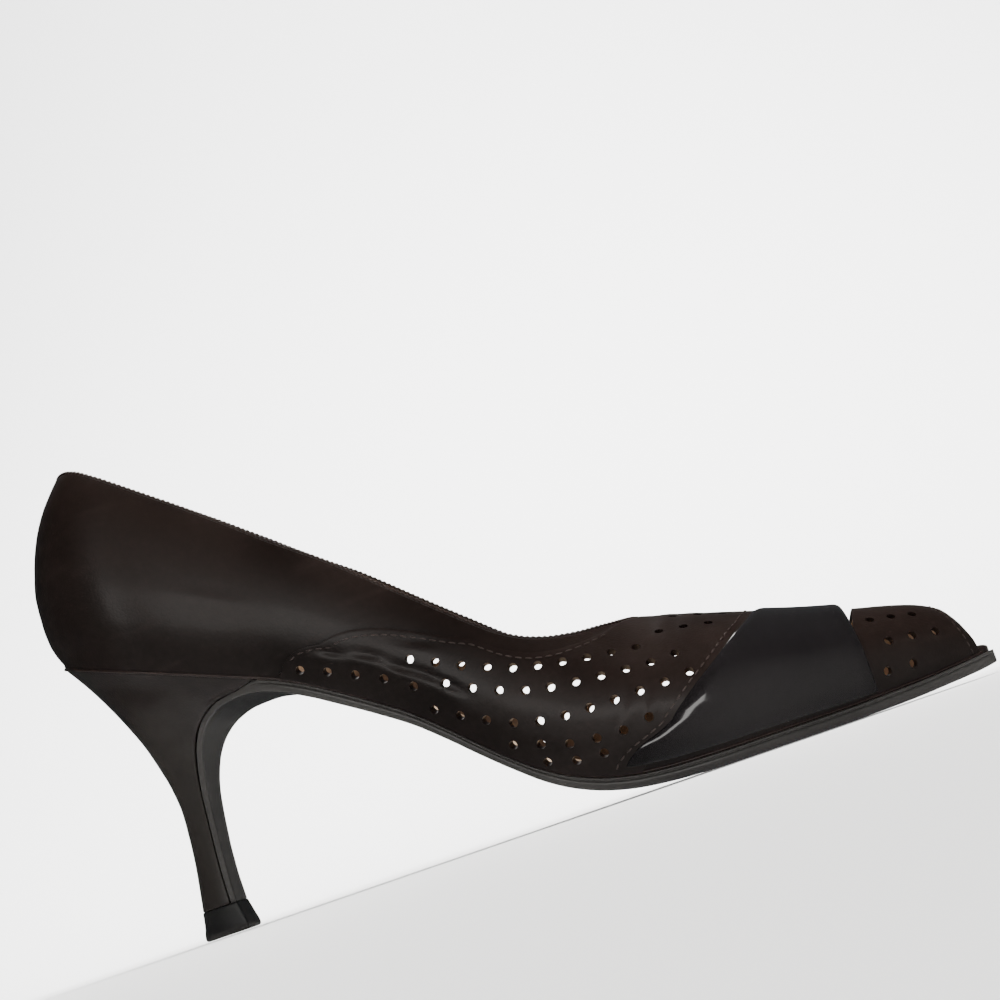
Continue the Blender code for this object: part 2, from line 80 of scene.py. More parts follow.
# Feather line in front of the seat: x, z
FEATHER = [
    (40, 59.4), (47, 55.8), (55, 50.9), (63, 45.6), (71.5, 39.6), (79, 33.1), (86.5, 26),
    (94, 19.3), (101, 13.9), (108, 9.9), (116, 6.9), (125, 5), (136, 4.1), (150, 3.8),
    (175, 3.8), (195, 4.2), (210, 5.2), (220, 6.2),
]

# Sections of the last: x, lateral half, medial half, widest level, bulge, crest z, crest y, exponent
LAST = [
    (-24, 25.5, 25.5, 15, 2.4, 166, 0, 2.2),
    (5, 25.6, 25.5, 14.5, 2.6, 146, 0, 2.2),
    (20, 26.2, 25.4, 14, 2.8, 134, 0, 2.2),
    (35, 26.2, 24.4, 13.5, 2.9, 122, 0, 2.2),
    (50, 26.4, 22.6, 13, 3.1, 110, 0, 2.2),
    (65, 27, 21.4, 12, 3.3, 98, 0.2, 2.2),
    (80, 28.6, 22.2, 11, 3.4, 85.5, 0.5, 2.2),
    (90, 30.6, 24.8, 10.5, 3.2, 76.5, 0.8, 2.2),
    (100, 32.8, 28.2, 10.5, 3, 67.5, 1, 2.2),
    (110, 34.8, 31.4, 11, 2.8, 59, 1.3, 2.2),
    (120, 36.2, 34, 11.5, 2.7, 51.8, 1.6, 2.2),
    (128, 36.7, 35.4, 11.5, 2.6, 47.2, 1.9, 2.2),
    (134, 36.7, 36.1, 11, 2.6, 44.4, 2.1, 2.2),
    (145, 35.8, 36.4, 10.5, 2.5, 41.4, 2.5, 2.2),
    (153, 34.3, 35.9, 10, 2.4, 38.9, 2.9, 2.2),
    (163, 31.3, 34.6, 9.5, 2.3, 35.8, 3.4, 2.2),
    (175, 26.7, 32, 8.5, 2.1, 32, 4.1, 2.2),
    (187, 21.1, 28.3, 7.5, 1.9, 28.7, 4.8, 2.2),
    (198, 15.1, 24, 6.5, 1.7, 25.9, 5.6, 2.2),
    (205, 10.8, 20.8, 5.5, 1.5, 23.6, 6.1, 2.2),
    (210, 7.2, 18, 4.8, 1.3, 20.9, 6.5, 2.2),
    (213, 4.9, 16, 4.2, 1.1, 18.4, 6.7, 2.2),
    (215.5, 2.6, 13.9, 3.6, 0.9, 15, 6.9, 2.2),
    (217.5, 0.4, 11.9, 3, 0.7, 11.6, 7, 2.2),
]

# Topline seen from the side: x, z
TOPLINE = [
    (-10, 134.4), (-3, 134), (2, 132.2), (7.5, 128.6), (13, 124.4), (20, 118.9), (27.5, 113),
    (34.5, 107.2), (41.5, 101.4), (48, 95.8), (55, 90.2), (62, 84.7), (68.5, 78.9), (75, 72.9),
    (81.5, 67), (88, 61.2), (94.5, 55.4), (101, 50.3), (108, 46.6), (115, 44.7), (122, 44),
    (129, 44), (134, 44.4),
]

# Back curve of the quarter: height above the feather, forward lean
BACK_CURVE = [
    (0, 2.5), (3, 1.2), (6, 0.4), (11, 0), (18, 0.2), (27, 2.3), (35, 5.3), (41.5, 9),
    (45.5, 12), (49, 15), (53, 18.6),
]

# Rim of the peep toe: share of the height, x
RIM = [(0, 216.3), (0.3, 215.6), (0.55, 214), (0.8, 211.4), (1, 210), (1.2, 211.4)]

# Edges of the band: share of the way from the feather to the crest, x
BAND_REAR = [
    (0, 120), (0.08, 122), (0.16, 126), (0.22, 131.5), (0.29, 137), (0.37, 143.5), (0.48, 151),
    (0.59, 156.3), (0.73, 161.2), (0.88, 163.6), (1, 164.2), (1.12, 163.6),
]
BAND_FRONT = [(0, 186.4), (0.35, 186.6), (0.7, 185.9), (1, 185.4), (1.3, 185.9)]
BAND_FOOT = 0.06
BAND_WAVE = 0.14
# Turned edges of the band: share of its length that they take, least thickness as a share
BAND_EDGES = {"rear": 0.12, "front": 0.07, "least": 0.35, "least_front": 0.4}

# Outer line of the sole, from the heel tip to the toe: x, z, lateral half, medial half
SOLE = [
    (6.4, 8, 5.6, 5.6), (6.3, 14, 5.4, 5.4), (6.5, 20.5, 5.3, 5.3), (7.1, 29, 5.7, 5.7),
    (8.1, 38.5, 6.7, 6.7), (9.8, 45.8, 8.6, 8.6), (11.5, 50, 10.4, 10.4), (14, 53.6, 12.8, 12.6),
    (17.5, 56.4, 15.4, 15), (22.5, 58.2, 18.4, 17.6), (28.5, 58.6, 21.3, 19.8), (34.9, 57.5, 23.7, 21.1),
    (40.5, 55.4, 25.2, 21.8), (47, 52, 26.2, 21.9), (55, 47, 26.9, 21.8), (63, 41.8, 27.5, 21.8),
    (71.5, 35.8, 28.2, 22.2), (79, 29.3, 29.2, 22.8), (86.5, 22.3, 30.6, 24.4), (94, 15.7, 32.2, 27),
    (101, 10.2, 33.8, 29.4), (108, 6.2, 35.2, 31.6), (116, 3.2, 36.6, 33.8), (125, 1.3, 37.4, 35.8),
    (136, 0.3, 37.6, 37.2), (146, 0, 36.7, 37.4), (156, 0, 34.5, 36.6), (166, 0, 31.3, 35.1),
    (176, 0, 27.3, 32.8), (186, 0.1, 22.8, 29.8), (196, 0.4, 17.6, 26.2), (204, 0.9, 12.8, 22.8),
    (210, 1.3, 8.6, 19.5), (214.5, 1.7, 4.8, 16.4), (217.5, 2.1, 1.6, 13.6), (219.3, 2.4, -1.6, 10.6),
    (220, 2.6, -4.6, 7.8),
]

# Heel: back x, back z, front x, front z, half width
HEEL = [
    (-4.9, 8, 4.5, 8, 5.7), (-4, 14, 4.4, 14.3, 5.4), (-3.1, 20.5, 4.6, 21, 5.3),
    (-2.4, 28.5, 5.2, 29.4, 5.7), (-2.1, 35.5, 6, 37.6, 6.7), (-2.8, 42.3, 7.5, 45.2, 8.6),
    (-4.3, 48.8, 9.3, 50.2, 10.6), (-6.3, 55.6, 12.2, 54.6, 13.3), (-8.9, 62, 16.4, 57.8, 16.6),
    (-12.2, 69, 22.2, 60, 20.4), (-16.2, 76.2, 29, 60.4, 23.7),
]
SEAT_FRONT_X = 34.5
FLAP_TOP_X = 28.5
SHANK_X = 34.9

# Top piece: z, back x, front x, half width
LIFT = [(0, -6.2, 7.7, 6.2), (0.8, -6.4, 7.9, 6.4), (4, -5.7, 7.3, 6.1), (7.7, -5.1, 6.5, 5.7)]
LIFT_SEATED = 0.28

# Rows of punched holes: sides, first x, first share, last x, last share, count
LATERAL, MEDIAL, BOTH = (-1,), (1,), (-1, 1)
HOLE_ROWS = [
    (LATERAL, 77, 0.33, 133, 0.60, 10),
    (LATERAL, 84, 0.31, 142, 0.54, 10),
    (LATERAL, 98, 0.285, 144, 0.44, 8),
    (LATERAL, 103, 0.20, 131, 0.30, 5),
    (LATERAL, 103, 0.08, 117.5, 0.16, 3),
    (LATERAL, 48, 0.09, 76, 0.23, 5),
    (MEDIAL, 67.5, 0.301, 94.3, 0.43, 5),
    (MEDIAL, 101.1, 0.475, 129.3, 0.646, 5),
    (MEDIAL, 74.9, 0.256, 102.5, 0.407, 5),
    (MEDIAL, 109.6, 0.447, 139, 0.599, 5),
    (MEDIAL, 96.6, 0.285, 140.9, 0.486, 7),
    (MEDIAL, 106.5, 0.20, 134.5, 0.30, 5),
    (MEDIAL, 106.6, 0.08, 121.1, 0.16, 3),
    (MEDIAL, 48, 0.09, 69, 0.195, 4),
    (BOTH, 79, 0.12, 91.5, 0.24, 3),
    (BOTH, 96, 0.13, 96, 0.13, 1),
    (BOTH, 139.5, 0.69, 152, 0.73, 3),
    (BOTH, 143.5, 0.85, 156, 0.87, 3),
    (BOTH, 191.5, 0.64, 202.5, 0.66, 3),
    (BOTH, 194, 0.42, 206.5, 0.44, 3),
    (BOTH, 191, 0.20, 198, 0.20, 2),
]
CREST_HOLES = [(140, 1), (150, 1)]
HOLE_RADIUS = 1.2
# Slit in front of the band: rear x, depth in the middle, reach to each side, width at its ends
SLIT = {"x": 185.7, "depth": 2.8, "lateral": 26.0, "medial": 23.0, "width": 0.3}
SLIT_CUTTER = {"low": 17.0, "high": 37.0, "steps": 24}

# Seam of the punched vamp over the quarter: x, share
SEAM = [
    (42, 0.02), (43.5, 0.08), (46, 0.15), (50, 0.22), (56, 0.285), (63, 0.34), (71, 0.385),
    (80, 0.43), (90, 0.48), (101, 0.54), (110, 0.62),
]
# From here the seam leaves the topline and closes over the vamp
SEAM_TURN_X = 127.0
SEAM_CLOSE_X = 138.0
SEAM_BELOW_TOPLINE = 0.062
# Punched vamp: lowest share, least height, reach under the band, thickness
PANEL = {"low": 0.012, "least": 0.03, "under_band": 5.0, "thick": 0.6}

# Slow waves of the leather, ripples where the forefoot bends, ridge beside a crease, seam at the back
WAVES = {"depth": 0.11, "scale": (0.05, 0.06, 0.07)}
FLEX = {"x": 143.0, "reach": 9.0, "low": 22.0, "rise": 14.0, "depth": 0.07, "pitch": 0.9, "wander": 2.0}
RIDGE = {"share": 0.7, "away": 2.2, "width": 1.3}
BACK_SEAM = {"x": 5.0, "depth": 0.22, "width": 0.35}
# Main creases on both sides: x, z, direction in x and z, length, depth
CREASES = [
    (57.5, 60.5, 0.87, -0.49, 4, 0.30),
    (67, 56.5, 0.86, -0.51, 4.5, 0.34),
    (74.4, 50.5, 0.80, -0.60, 4, 0.42),
    (80.2, 46.5, 0.74, -0.67, 3.6, 0.44),
    (85.6, 41.5, 0.70, -0.71, 4, 0.40),
    (81, 55, 0.90, -0.44, 5, 0.20),
    (127.5, 24.5, 0.55, 0.83, 4, 0.10),
    (131.5, 21, 0.50, 0.87, 3.6, 0.12),
    (124, 19.5, 0.80, 0.60, 3.4, 0.07),
    (30, 88, 0.88, -0.47, 9, 0.12),
]

# Studio: lamp, place in metres, width and height, power, colour
LAMPS = [
    ("key_softbox", (-0.10, -1.10, 0.32), (0.90, 0.20), 2.4, (1.0, 0.98, 0.95)),
    ("side_softbox", (0.80, -0.60, 0.40), (0.25, 0.55), 1.2, (0.93, 0.96, 1.0)),
    ("rim_softbox", (-0.25, 0.75, 0.80), (0.50, 0.22), 2.2, (1.0, 0.99, 0.97)),
    ("top_softbox", (0.05, 0.15, 1.2), (1.2, 0.8), 42.0, (1.0, 0.99, 0.97)),
    ("backdrop_light", (0.0, 0.7, 1.3), (1.6, 0.4), 105.0, (1.0, 1.0, 1.0)),
]
LAMP_AIM = (0.0, 0.0, 0.05)
BACKDROP_AIM = (0.0, 1.9, 0.5)
# A soft light place of the room
GLOW = {"towards": (0.57, -0.82, -0.05), "reach": 0.95, "colour": (0.30, 0.30 * 0.97, 0.30 * 0.93)}
# Brightness of the room by height of the direction, from straight below to straight above
ROOM = [(0.0, 0.42), (0.12, 0.30), (0.26, 0.07), (0.5, 0.05), (0.7, 0.045), (1.0, 0.03)]
# Floor in metres: length, part of it in front, start and radius of the bend, width, drop below the shoe
SWEEP = {"length": 7.0, "in_front": 3.0, "bend_y": 0.5, "bend": 1.6, "width": 12.0, "drop": 0.00025}
PAPER_GLOW = 0.22
CAMERA = {
    "azimuth": 6.0, "height": 3.0, "distance": 550.0, "roll": 19.0,
    "lens": 73.0, "aim_x": 11.0, "aim_z": 87.7,
}


def smooth(table, x, column=1):
    """Monotone cubic through one column of a table, held level past its ends."""
    if x <= table[0][0]:
        return table[0][column]
    if x >= table[-1][0]:
        return table[-1][column]
    i = 0
    while table[i + 1][0] < x:
        i += 1
    step = table[i + 1][0] - table[i][0]
    t = (x - table[i][0]) / step
    m0, m1 = tangent(table, i, column), tangent(table, i + 1, column)
    p0, p1 = table[i][column], table[i + 1][column]
    h00 = (1 + 2 * t) * (1 - t) ** 2
    h10 = t * (1 - t) ** 2
    h01 = t * t * (3 - 2 * t)
    h11 = t * t * (t - 1)
    return h00 * p0 + h10 * step * m0 + h01 * p1 + h11 * step * m1


def ramp(value, start, length):
    """How far a value has come along a stretch, from 0 to 1."""
    return min(1.0, max(0.0, (value - start) / length))


def slope(table, i, column):
    return (table[i + 1][column] - table[i][column]) / (table[i + 1][0] - table[i][0])


def tangent(table, i, column):
    """Slope at a row: zero at a turning point, else the harmonic mean of both sides."""
    if i == 0:
        return slope(table, 0, column)
    if i == len(table) - 1:
        return slope(table, i - 1, column)
    a, b = slope(table, i - 1, column), slope(table, i, column)
    if a * b <= 0:
        return 0.0
    return 2 * a * b / (a + b)


def feather_z(x):
    if x <= SEAT["x"]:
        return SEAT["z"] + SEAT["slope"] * (x - SEAT["x"])
    return smooth(FEATHER, x)


def topline_angle(x, z):
    """Angle on the section at x whose height is z."""
    height = smooth(LAST, x, 3)
    crest = smooth(LAST, x, 5)
    widest = feather_z(x) + height
    if z < widest:
        return math.asin(max(-1.0, (z - widest) / height) * math.sin(LOW_ANGLE))
    part = min(1.0, (z - widest) / (crest - widest))
    return math.asin(part ** (smooth(LAST, x, 7) / 2))


def heel_round(x, lean):
    """Share of the full width left at x by the round of the heel."""
    centre = HEEL_CENTRE_X + CENTRE_SHARE * lean
    if x >= centre:
        return 1.0
    part = min(1.0, (centre - x) / (centre - BACK_X - lean))
    return math.sqrt(1.0 - part * part)


def last_point(x, angle, side, lean=0.0):
    """Point of the last's surface: side -1 is lateral, +1 medial."""
    column = 1 if side < 0 else 2
    height, bulge, crest, crest_y = (smooth(LAST, x, k) for k in (3, 4, 5, 6))
    power = 2 / smooth(LAST, x, 7)
    half = smooth(LAST, x, column) + bulge - side * crest_y
    widest = feather_z(x) + height
    if angle < 0:
        drop = math.sin(angle) / math.sin(LOW_ANGLE)
        z = widest + height * drop
        y = half - bulge * drop * drop
    else:
        z = widest + (crest - widest) * math.sin(angle) ** power
        y = half * max(0.0, math.cos(angle)) ** power
    return Vector((x, crest_y + side * y * heel_round(x, lean), z))


def share_angle(share):
    return -LOW_ANGLE + (FULL_ANGLE + LOW_ANGLE) * share


def topline_share(x):
    """Share of the section at which the topline crosses x."""
    if x >= THROAT_X:
        return 1.0
    return (topline_angle(x, smooth(TOPLINE, x)) + LOW_ANGLE) / (FULL_ANGLE + LOW_ANGLE)


def swept_x(station, lean):
    """Station on the round of the heel as an angle, or in front of it as an x, moved by the back's lean."""
    kind, value = station
    centre = HEEL_CENTRE_X + CENTRE_SHARE * lean
    if kind == "turn":
        return centre - (centre - BACK_X - lean) * math.sin(value)
    fade = max(0.0, (HEEL_FADE_X - value) / (HEEL_FADE_X - HEEL_CENTRE_X))
    return value + CENTRE_SHARE * lean * fade * fade


def settle(station, height_of):
    """The x and lean at which this station reaches the height that height_of gives for an x."""
    lean = 0.0
    for _ in range(24):
        x = swept_x(station, lean)
        lean += 0.5 * (smooth(BACK_CURVE, height_of(x) - feather_z(BACK_X)) - lean)
    return swept_x(station, lean), lean


station_tops = {}


def rear_column(station, share, side):
    """Point of the quarter behind the waist, at this share of the way from the feather to the topline."""
    if station not in station_tops:
        top_x, _ = settle(station, lambda x: smooth(TOPLINE, x))
        station_tops[station] = smooth(TOPLINE, top_x)
    top = station_tops[station]

    def angle_at(x):
        return -LOW_ANGLE + (topline_angle(x, top) + LOW_ANGLE) * share

    x, lean = settle(station, lambda x: last_point(x, angle_at(x), 1).z)
    point = last_point(x, angle_at(x), side, lean)
    if station == ("turn", FULL_ANGLE):
        point.y = 0.0
    return point


def side_column(x_base, share, side):
    """Point of the upper in front of the heel, at this share of the way up its column."""
    if x_base < HEEL_FADE_X:
        return rear_column(("along", x_base), share, side)
    slide = max(0.0, (x_base - TOE_SLIDE_X) / (RIM_X - TOE_SLIDE_X)) ** 2
    x = x_base + slide * (smooth(RIM, share) - RIM_X)
    top = FULL_ANGLE
    if x_base < THROAT_X - 1e-6:
        top = topline_angle(x_base, smooth(TOPLINE, x_base))
    return last_point(x, -LOW_ANGLE + (top + LOW_ANGLE) * share, side)


def place(point):
    return Vector(((point.x + SHIFT_X) * MM, point.y * MM, point.z * MM))


def crease_depth(point):
    """How far the worn leather stands in or out at a point of the last, in mm."""
    along, over, up = WAVES["scale"]
    depth = WAVES["depth"] * noise.noise(Vector((point.x * along, point.y * over, point.z * up)))
    flex = math.exp(-((point.x - FLEX["x"]) / FLEX["reach"]) ** 2)
    flex *= ramp(point.z, FLEX["low"], FLEX["rise"])
    wander = FLEX["wander"] * noise.noise(Vector((0.0, point.y * up, point.z * up)))
    depth += FLEX["depth"] * flex * math.sin(point.x * FLEX["pitch"] + wander)
    for x, z, along_x, along_z, length, deep in CREASES:
        reach_x, reach_z = point.x - x, point.z - z
        if abs(reach_x) + abs(reach_z) > 4 * length:
            continue
        down = reach_x * along_x + reach_z * along_z
        across = reach_x * along_z - reach_z * along_x
        fold = math.exp(-(down / length) ** 2)
        depth -= deep * fold * math.exp(-across ** 2)
        depth += RIDGE["share"] * deep * fold * math.exp(-((across - RIDGE["away"]) / RIDGE["width"]) ** 2)
    if point.x < BACK_SEAM["x"]:
        depth -= BACK_SEAM["depth"] * math.exp(-(point.y / BACK_SEAM["width"]) ** 2)
    return depth


def soften(body, lift=0.0):
    """Gives a leather sheet its waves and creases, and lifts it by this much."""
    body.normal_update()
    for vertex in body.verts:
        point = Vector((vertex.co.x / MM - SHIFT_X, vertex.co.y / MM, vertex.co.z / MM))
        vertex.co += vertex.normal * (crease_depth(point) + lift) * MM


# Pieces and their modifiers

def new_object(name, body):
    """Turns a bmesh into a smooth object of the scene."""
    mesh = bpy.data.meshes.new(name)
    body.to_mesh(mesh)
    body.free()
    for polygon in mesh.polygons:
        polygon.use_smooth = True
    made = bpy.data.objects.new(name, mesh)
    bpy.context.scene.collection.objects.link(made)
    return made


def finish_mesh(name, body, cad_nodes, finishes):
    """Turns a bmesh into a piece of the shoe with its finishes."""
    piece = new_object(name, body)
    for finish in finishes:
        piece.data.materials.append(finish)
    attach(piece, "root")
    if cad_nodes:
        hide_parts(*cad_nodes)
    return piece


def mapped_grid(body, columns, rows, where, along_layer=None):
    """A grid whose vertices are moved to where(along, across), both from 0 to 1."""
    made = bmesh.ops.create_grid(body, x_segments=columns, y_segments=rows, size=0.5)
    for vertex in made["verts"]:
        along, across = vertex.co.x + 0.5, vertex.co.y + 0.5
        if along_layer:
            vertex[along_layer] = along
        vertex.co = place(where(along, across))


def weld(body, distance=0.02):
    """Merges doubles and turns the faces of the sheet or solid away from the middle of the shoe."""
    bmesh.ops.remove_doubles(body, verts=body.verts, dist=distance * MM)
    bmesh.ops.recalc_face_normals(body, faces=body.faces)
    outward = 0.0
    for face in body.faces:
        middle = face.calc_center_median()
        outward += face.normal.dot(Vector((0.0, middle.y, middle.z - 0.03))) * face.calc_area()
    if outward < 0:
        bmesh.ops.reverse_faces(body, faces=body.faces)


def swept_body(columns, loop, where):
    """A closed solid from a loop of section points moved to where(along, point), with its ends filled."""
    body = bmesh.new()
    count = len(loop)
    mapped_grid(body, columns, count, lambda a, s: where(a, loop[round(s * count) % count]))
    bmesh.ops.remove_doubles(body, verts=body.verts, dist=0.005 * MM)
    open_edges = [edge for edge in body.edges if edge.is_boundary]
    bmesh.ops.holes_fill(body, edges=open_edges, sides=0)
    bmesh.ops.recalc_face_normals(body, faces=body.faces)
    return body


def wall(piece, thickness, outwards, inner_finish=0):
    solid = piece.modifiers.new("wall", "SOLIDIFY")
    solid.thickness = thickness * MM
    solid.offset = 1.0 if outwards else -1.0
    solid.use_even_offset = True
    solid.material_offset = inner_finish


def round_edges(piece, width, segments=3, angle=40.0):
    bevel = piece.modifiers.new("rounded edges", "BEVEL")
    bevel.width = width * MM
    bevel.segments = segments
    bevel.limit_method = "ANGLE"
    bevel.angle_limit = math.radians(angle)


def apply_all(piece):
    """Makes the piece's modifiers final, so that the punch can go."""
    graph = bpy.context.evaluated_depsgraph_get()
    done = bpy.data.meshes.new_from_object(piece.evaluated_get(graph))
    piece.modifiers.clear()
    piece.data = done
    body = bmesh.new()
    body.from_mesh(done)
    for face in body.faces:
        face.smooth = True
    for edge in body.edges:
        edge.smooth = len(edge.link_faces) == 2 and edge.calc_face_angle() < CRISP_ANGLE
    body.to_mesh(done)
    body.free()


def punched(piece, punch):
    cut = piece.modifiers.new("punched", "BOOLEAN")
    cut.operation = "DIFFERENCE"
    cut.solver = "EXACT"
    cut.object = punch
    apply_all(piece)


# Punched holes

def surface_frame(x, share, side):
    """Point of the upper's surface and its outward normal."""
    angle = share_angle(share)
    point = last_point(x, angle, side)
    along = last_point(x + 0.5, angle, side) - last_point(x - 0.5, angle, side)
    over = last_point(x, angle - 0.02, side) - last_point(x, angle - 0.06, side)
    return point, over.cross(along).normalized() * side


def hole_places():
    found = []
    for sides, x0, share0, x1, share1, count in HOLE_ROWS:
        for k in range(count):
            part = k / max(1, count - 1)
            for side in sides:
                found.append(surface_frame(x0 + (x1 - x0) * part, share0 + (share1 - share0) * part, side))
    for x, share in CREST_HOLES:
        point, normal = surface_frame(x, share, 1)
        normal.y = 0.0
        found.append((point, normal.normalized()))
    return found


def punch_tool():
    """Round punches for the holes and the crescent of the slit, as one hidden cutter."""
    body = bmesh.new()
    for point, normal in hole_places():
        turn = Vector((0, 0, 1)).rotation_difference(normal).to_matrix().to_4x4()
        bmesh.ops.create_cone(
            body, cap_ends=True, segments=20, radius1=HOLE_RADIUS * MM, radius2=HOLE_RADIUS * MM,
            depth=7.0 * MM, matrix=Matrix.Translation(place(point)) @ turn,
        )
    middle = smooth(LAST, SLIT["x"], 6)
    low, high = SLIT_CUTTER["low"], SLIT_CUTTER["high"]
    made = bmesh.ops.create_grid(body, x_segments=1, y_segments=SLIT_CUTTER["steps"], size=0.5)
    for vertex in made["verts"]:
        t = 2 * vertex.co.y
        reach = SLIT["width"] + SLIT["depth"] * (1 - t * t)
        x = SLIT["x"] + (reach if vertex.co.x > 0 else 0.0)
        y = middle + t * (SLIT["lateral"] if t < 0 else SLIT["medial"])
        vertex.co = place(Vector((x, y, low)))
    faces = list({face for vertex in made["verts"] for face in vertex.link_faces})
    pushed = bmesh.ops.extrude_face_region(body, geom=faces)
    risen = [item for item in pushed["geom"] if isinstance(item, bmesh.types.BMVert)]
    bmesh.ops.translate(body, verts=risen, vec=(0, 0, (high - low) * MM))
    bmesh.ops.recalc_face_normals(body, faces=body.faces)
    return new_object("punch_tool", body)


# Leather pieces

def upper_shell(punch, leather, lining):
    """The leather shell from the back seam to the peep toe, with its lining on the inner face."""
    body = bmesh.new()
    waist = THROAT_X - HEEL_CENTRE_X
    for side in (-1, 1):
        mapped_grid(body, 24, 36, lambda a, s: rear_column(("turn", FULL_ANGLE * (1 - a)), s, side))
        mapped_grid(body, 92, 36, lambda a, s: side_column(HEEL_CENTRE_X + waist * a, s, side))
        mapped_grid(body, 60, 36, lambda a, s: side_column(THROAT_X + (RIM_X - THROAT_X) * a, s, side))
    weld(body)
    soften(body)
    piece = finish_mesh("upper_shell", body, ["upper"], [leather, lining])
    wall(piece, WALL, False, 1)
    round_edges(piece, 0.45)
    punched(piece, punch)
    return piece


def seam_share(x):
    """Share at which the punched vamp ends over the quarter, below the topline and before the throat."""
    if x > SEAM_TURN_X:
        turn = seam_share(SEAM_TURN_X)
        return min(1.0, turn + (1 - turn) * (x - SEAM_TURN_X) / (SEAM_CLOSE_X - SEAM_TURN_X))
    if x > SEAM[-1][0]:
        return topline_share(x) - SEAM_BELOW_TOPLINE
    return min(smooth(SEAM, x), topline_share(x) - SEAM_BELOW_TOPLINE)


def vamp_panel(punch, leather):
    """The punched vamp, a second layer that ends in the seam over the quarter and under the band."""
    body = bmesh.new()
    low = PANEL["low"]

    def spot(along, across, side):
        front = smooth(BAND_REAR, across) + PANEL["under_band"]
        x = SEAM[0][0] + (front - SEAM[0][0]) * along
        top = max(seam_share(x), low + PANEL["least"])
        return last_point(x, share_angle(low + (top - low) * across), side)

    for side in (-1, 1):
        mapped_grid(body, 150, 40, lambda a, s: spot(a, s, side))
    weld(body, 0.004)
    soften(body, 0.05)
    piece = finish_mesh("vamp_panel", body, [], [leather])
    wall(piece, PANEL["thick"], True)
    round_edges(piece, 0.25, 2)
    punched(piece, punch)
    return piece


def patent_band(patent):
    """The patent band, with a turned rear edge and a free front edge."""
    body = bmesh.new()

    def spot(along, across, side):
        share = BAND_FOOT + (1 - BAND_FOOT) * across
        rear, front = smooth(BAND_REAR, share), smooth(BAND_FRONT, share)
        return last_point(rear + (front - rear) * along, share_angle(share), side)

    across_band = body.verts.layers.float.new("across_band")
    for side in (-1, 1):
        mapped_grid(body, 60, 60, lambda a, s: spot(a, s, side), across_band)
    weld(body)
    body.normal_update()
    for vertex in body.verts:
        wave = noise.noise(Vector((vertex.co.x * 32, vertex.co.y * 40, vertex.co.z * 45)))
        vertex.co += vertex.normal * (BAND_LIFT + BAND_WAVE * wave) * MM
    fullness = [band_fullness(vertex[across_band]) for vertex in body.verts]
    piece = finish_mesh("patent_band", body, ["vamp_band"], [patent])
    group = piece.vertex_groups.new(name="fullness")
    for index, share in enumerate(fullness):
        group.add([index], share, "REPLACE")
    wall(piece, BAND_WALL, True)
    piece.modifiers["wall"].vertex_group = "fullness"
    round_edges(piece, 0.3, 4)
    return piece


def band_fullness(along):
    """Thickness of the band as a share of the full one: thin at the rear edge, then soon full."""
    least, least_front = BAND_EDGES["least"], BAND_EDGES["least_front"]
    rear = 1 - (1 - min(1.0, along / BAND_EDGES["rear"])) ** 2
    front = 1 - (1 - min(1.0, (1 - along) / BAND_EDGES["front"])) ** 2
    return least + (1 - least) * min(rear, least_front + (1 - least_front) * front)


def evenly(path, step):
    """An open path with points this far apart."""
    found = [path[0]]
    left = step
    for p, q in zip(path, path[1:]):
        span = (q - p).length
        done = 0.0
        while span - done >= left:
            done += left
            found.append(p.lerp(q, done / span))
            left = step
        left -= span - done
    return found


def tube_along(body, path, radius_at, sides=10):
    """A tube round a path of points, its radius given by the count of the point."""
    count = len(path) - 1

    def spot(along, across):
        i = round(along * count)
        before, after = path[max(0, i - 1)], path[min(count, i + 1)]
        forward = (after - before).normalized()
        across_way = forward.cross(Vector((0, 0, 1))).normalized()
        up = across_way.cross(forward)
        turn = 2 * math.pi * across
        return path[i] + (across_way * math.cos(turn) + up * math.sin(turn)) * radius_at(i)

    mapped_grid(body, count, sides, spot)


def outline_path(share, front_x, turns, steps):
    """The line at this share of the height, from the front round the back to the front."""
    lines = []
    for side in (-1, 1):
        line = [rear_column(("turn", FULL_ANGLE * (1 - k / turns)), share, side) for k in range(turns + 1)]
        for k in range(1, steps + 1):
            line.append(side_column(HEEL_CENTRE_X + (front_x - HEEL_CENTRE_X) * k / steps, share, side))
        lines.append(line)
    return lines[0][::-1] + lines[1][1:]


def topline_bead(leather):
    """The fine whipped edge along the topline, drawn in over the wall."""
    inwards, radius, ripple, pitch, step = 0.75, 0.62, 0.17, 1.5, 0.36
    drawn = []
    for point in outline_path(1.0, THROAT_X, 40, 150):
        way = Vector((max(0.0, HEEL_CENTRE_X - point.x), -point.y, 0.0))
        reach = inwards if point.x < HEEL_CENTRE_X else min(inwards, abs(point.y))
        drawn.append(point + way.normalized() * reach)
    body = bmesh.new()
    turn = 2 * math.pi * step / pitch
    tube_along(body, evenly(drawn, step), lambda i: radius + ripple * math.cos(turn * i))
    weld(body, 0.001)
    return finish_mesh("topline_bead", body, [], [leather])


def feather_bead(leather):
    """The thin bead where the upper turns in over the sole and the heel seat."""
    radius, rise, step = 0.42, 0.1, 1.2
    path = [Vector((p.x, p.y, p.z + rise)) for p in evenly(outline_path(0.0, RIM_X, 30, 200), step)]
    body = bmesh.new()
    tube_along(body, path, lambda i: radius, 8)
    weld(body, 0.001)
    return finish_mesh("feather_bead", body, [], [leather])


